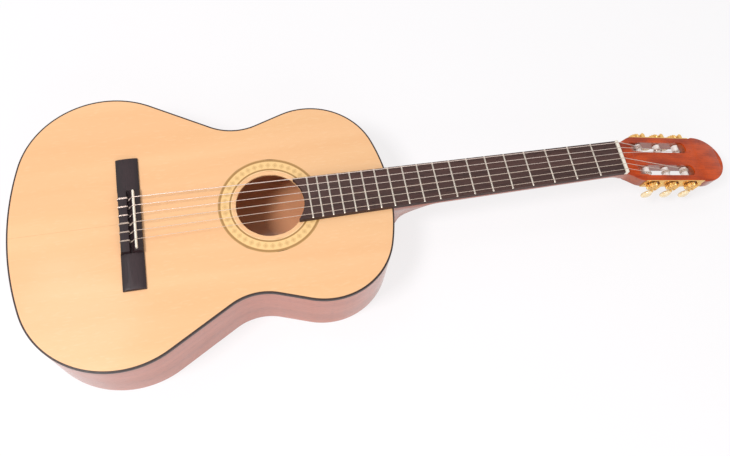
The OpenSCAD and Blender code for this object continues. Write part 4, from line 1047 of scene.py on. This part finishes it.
# At the bridge: how far strings lie apart, how far they stand off the block, and how far a loop dips past it.
LOOP_GAP, SKIN, REAR_DIP, FRONT_DIP = 0.0003, 0.0001, 0.0016, 0.0026
for k in range(string_count):
    n, r = k + 1, STRING_R[k]
    side = -1 if n < 4 else 1
    hub = roller_spots[str(n)] * (1, 0, 1)
    coil = ROLLER_R + COIL_GAP + r
    leave = np.array([head_x, nut_zs[k]])
    gap = np.linalg.norm(hub[::2] - leave)
    slope = math.atan2(hub[2] - leave[1], hub[0] - leave[0]) + math.asin(coil / gap)
    meet = (hub[0] - coil * math.sin(slope), side * COIL_AT[str(n)], hub[2] + coil * math.cos(slope))
    yb, aside, over = bridge_ys[k], bridge_ys[k] + 2 * r + LOOP_GAP, bridge_high.z + r
    rear, front = TIE_REAR - r - SKIN, RAMP_X + r + SKIN
    spare = aside + 2 * r + SKIN
    corners = [
        (rear + 0.0016, spare, over), (front, spare, over), (front + 0.0002, spare, over - FRONT_DIP),
        (front + 0.0002, aside, over - FRONT_DIP), (front, aside, over),
        (rear, aside, over), (rear, yb + r, over - REAR_DIP), (rear, yb, tie_z), (front + 0.0003, yb, tie_z),
        (saddle_x - 0.001, yb, SADDLE_TOP + r), (saddle_x + 0.0006, yb, SADDLE_TOP + r),
        (nut_low.x, nut_ys[k], nut_zs[k]), (head_x, nut_ys[k], nut_zs[k]), meet]
    main = tube(eased(corners, 0.0012), r)
    # The end is drawn back under the loop twice, and trimmed on top of the tie block.
    turns = np.linspace(0, 2, 33)
    turn_a = 2 * math.pi * turns
    wrap = np.stack([front + KNOT_OFF + KNOT_STEP_X * turns, yb + 2 * r * np.cos(turn_a),
                     tie_z + KNOT_OFF + KNOT_STEP_Z * turns + 2 * r * np.sin(turn_a)], 1)
    string = surface("string_run_%d" % n, main, tube(wrap, r))
    material, slot = (nylon, "clear_nylon") if n < 4 else (wound, "wound_nylon")
    finish_piece(string, material, slot, "string_%d" % n)
    # The wraps start where the string meets the roller and step inwards to outwards by one string's width.
    a0 = math.atan2(meet[2] - hub[2], meet[0] - hub[0])
    a = np.linspace(0, COIL_TURNS * 2 * math.pi, COIL_TURNS * 28 + 1)
    step = (a / (2 * math.pi) - COIL_TURNS / 2) * 2 * r
    helix = np.stack([hub[0] + coil * np.cos(a0 - a), side * (COIL_AT[str(n)] + step),
                      hub[2] + coil * np.sin(a0 - a)], 1)
    wraps = surface("string_wraps_%d" % n, tube(helix, r))
    finish_piece(wraps, material, slot, body="string_post_%d" % n)

# ---- Stage ----
# A plain white floor that glows a little, so shadows on it stay faint. Soft light comes from all round,
# with two lamps high over the tail and one low on the treble side.
FLOOR_HALF, GLOW_SHARE, SKY_LIGHT, SKY_SEEN = 6.0, 0.74, 0.51, 1.0
corners = [[(x, y, 0) for y in (-FLOOR_HALF, FLOOR_HALF)] for x in (-FLOOR_HALF, FLOOR_HALF)]
floor = surface("floor", (np.array(corners), False, False, None, False))


def seen_directly(tree):
    """1 for rays from the camera or off a mirror-like surface, and 0 for the rays that light things."""
    ray = wire(tree, "LightPath")
    return ray, math_of(tree, "MAXIMUM", ray.outputs["Is Camera Ray"], ray.outputs["Is Glossy Ray"])


paper, tree, shader = tree_of("floor_paper")
_, seen = seen_directly(tree)
join(shader, Base_Color=mix(tree, seen, (0.80, 0.78, 0.785), (1.0, 0.94, 0.985)), Roughness=0.9,
     Specular_IOR_Level=0.0)
glow = wire(tree, "Emission", Color=(1.0, 1.0, 1.0), Strength=1.0)
blend = wire(tree, "MixShader", Fac=math_of(tree, "MULTIPLY", seen, GLOW_SHARE), _1=shader.outputs[0],
             _2=glow.outputs[0])
join(next(n for n in tree.nodes if n.type == "OUTPUT_MATERIAL"), Surface=blend.outputs[0])
floor.data.materials.append(paper)
world = bpy.data.worlds.new("studio")
bpy.context.scene.world = world
world.use_nodes = True
tree = world.node_tree
ray, seen = seen_directly(tree)
seen = math_of(tree, "MAXIMUM", seen, ray.outputs["Is Transmission Ray"])
join(tree.nodes["Background"], Color=(1, 1, 1, 1), Strength=band(tree, seen, 0, 1, SKY_LIGHT, SKY_SEEN))


def soft_light(name, place, size, power):
    """A square lamp at place, facing the middle of the guitar."""
    lamp = bpy.data.lights.new(name, "AREA")
    lamp.size, lamp.energy = size, power
    light = bpy.data.objects.new(name, lamp)
    light.location = place
    towards = Vector((0, 0, 0.05)) - light.location
    light.rotation_euler = towards.to_track_quat("-Z", "Y").to_euler()
    bpy.context.scene.collection.objects.link(light)


soft_light("over_tail", (-1.17, -0.5, 1.9), 0.5, 26)
soft_light("treble_side", (0.1, -1.7, 0.9), 1.2, 9)
soft_light("sheen", (-0.89, 0.5, 1.9), 0.4, 2)
scene = bpy.context.scene
scene.view_settings.view_transform = "Standard"
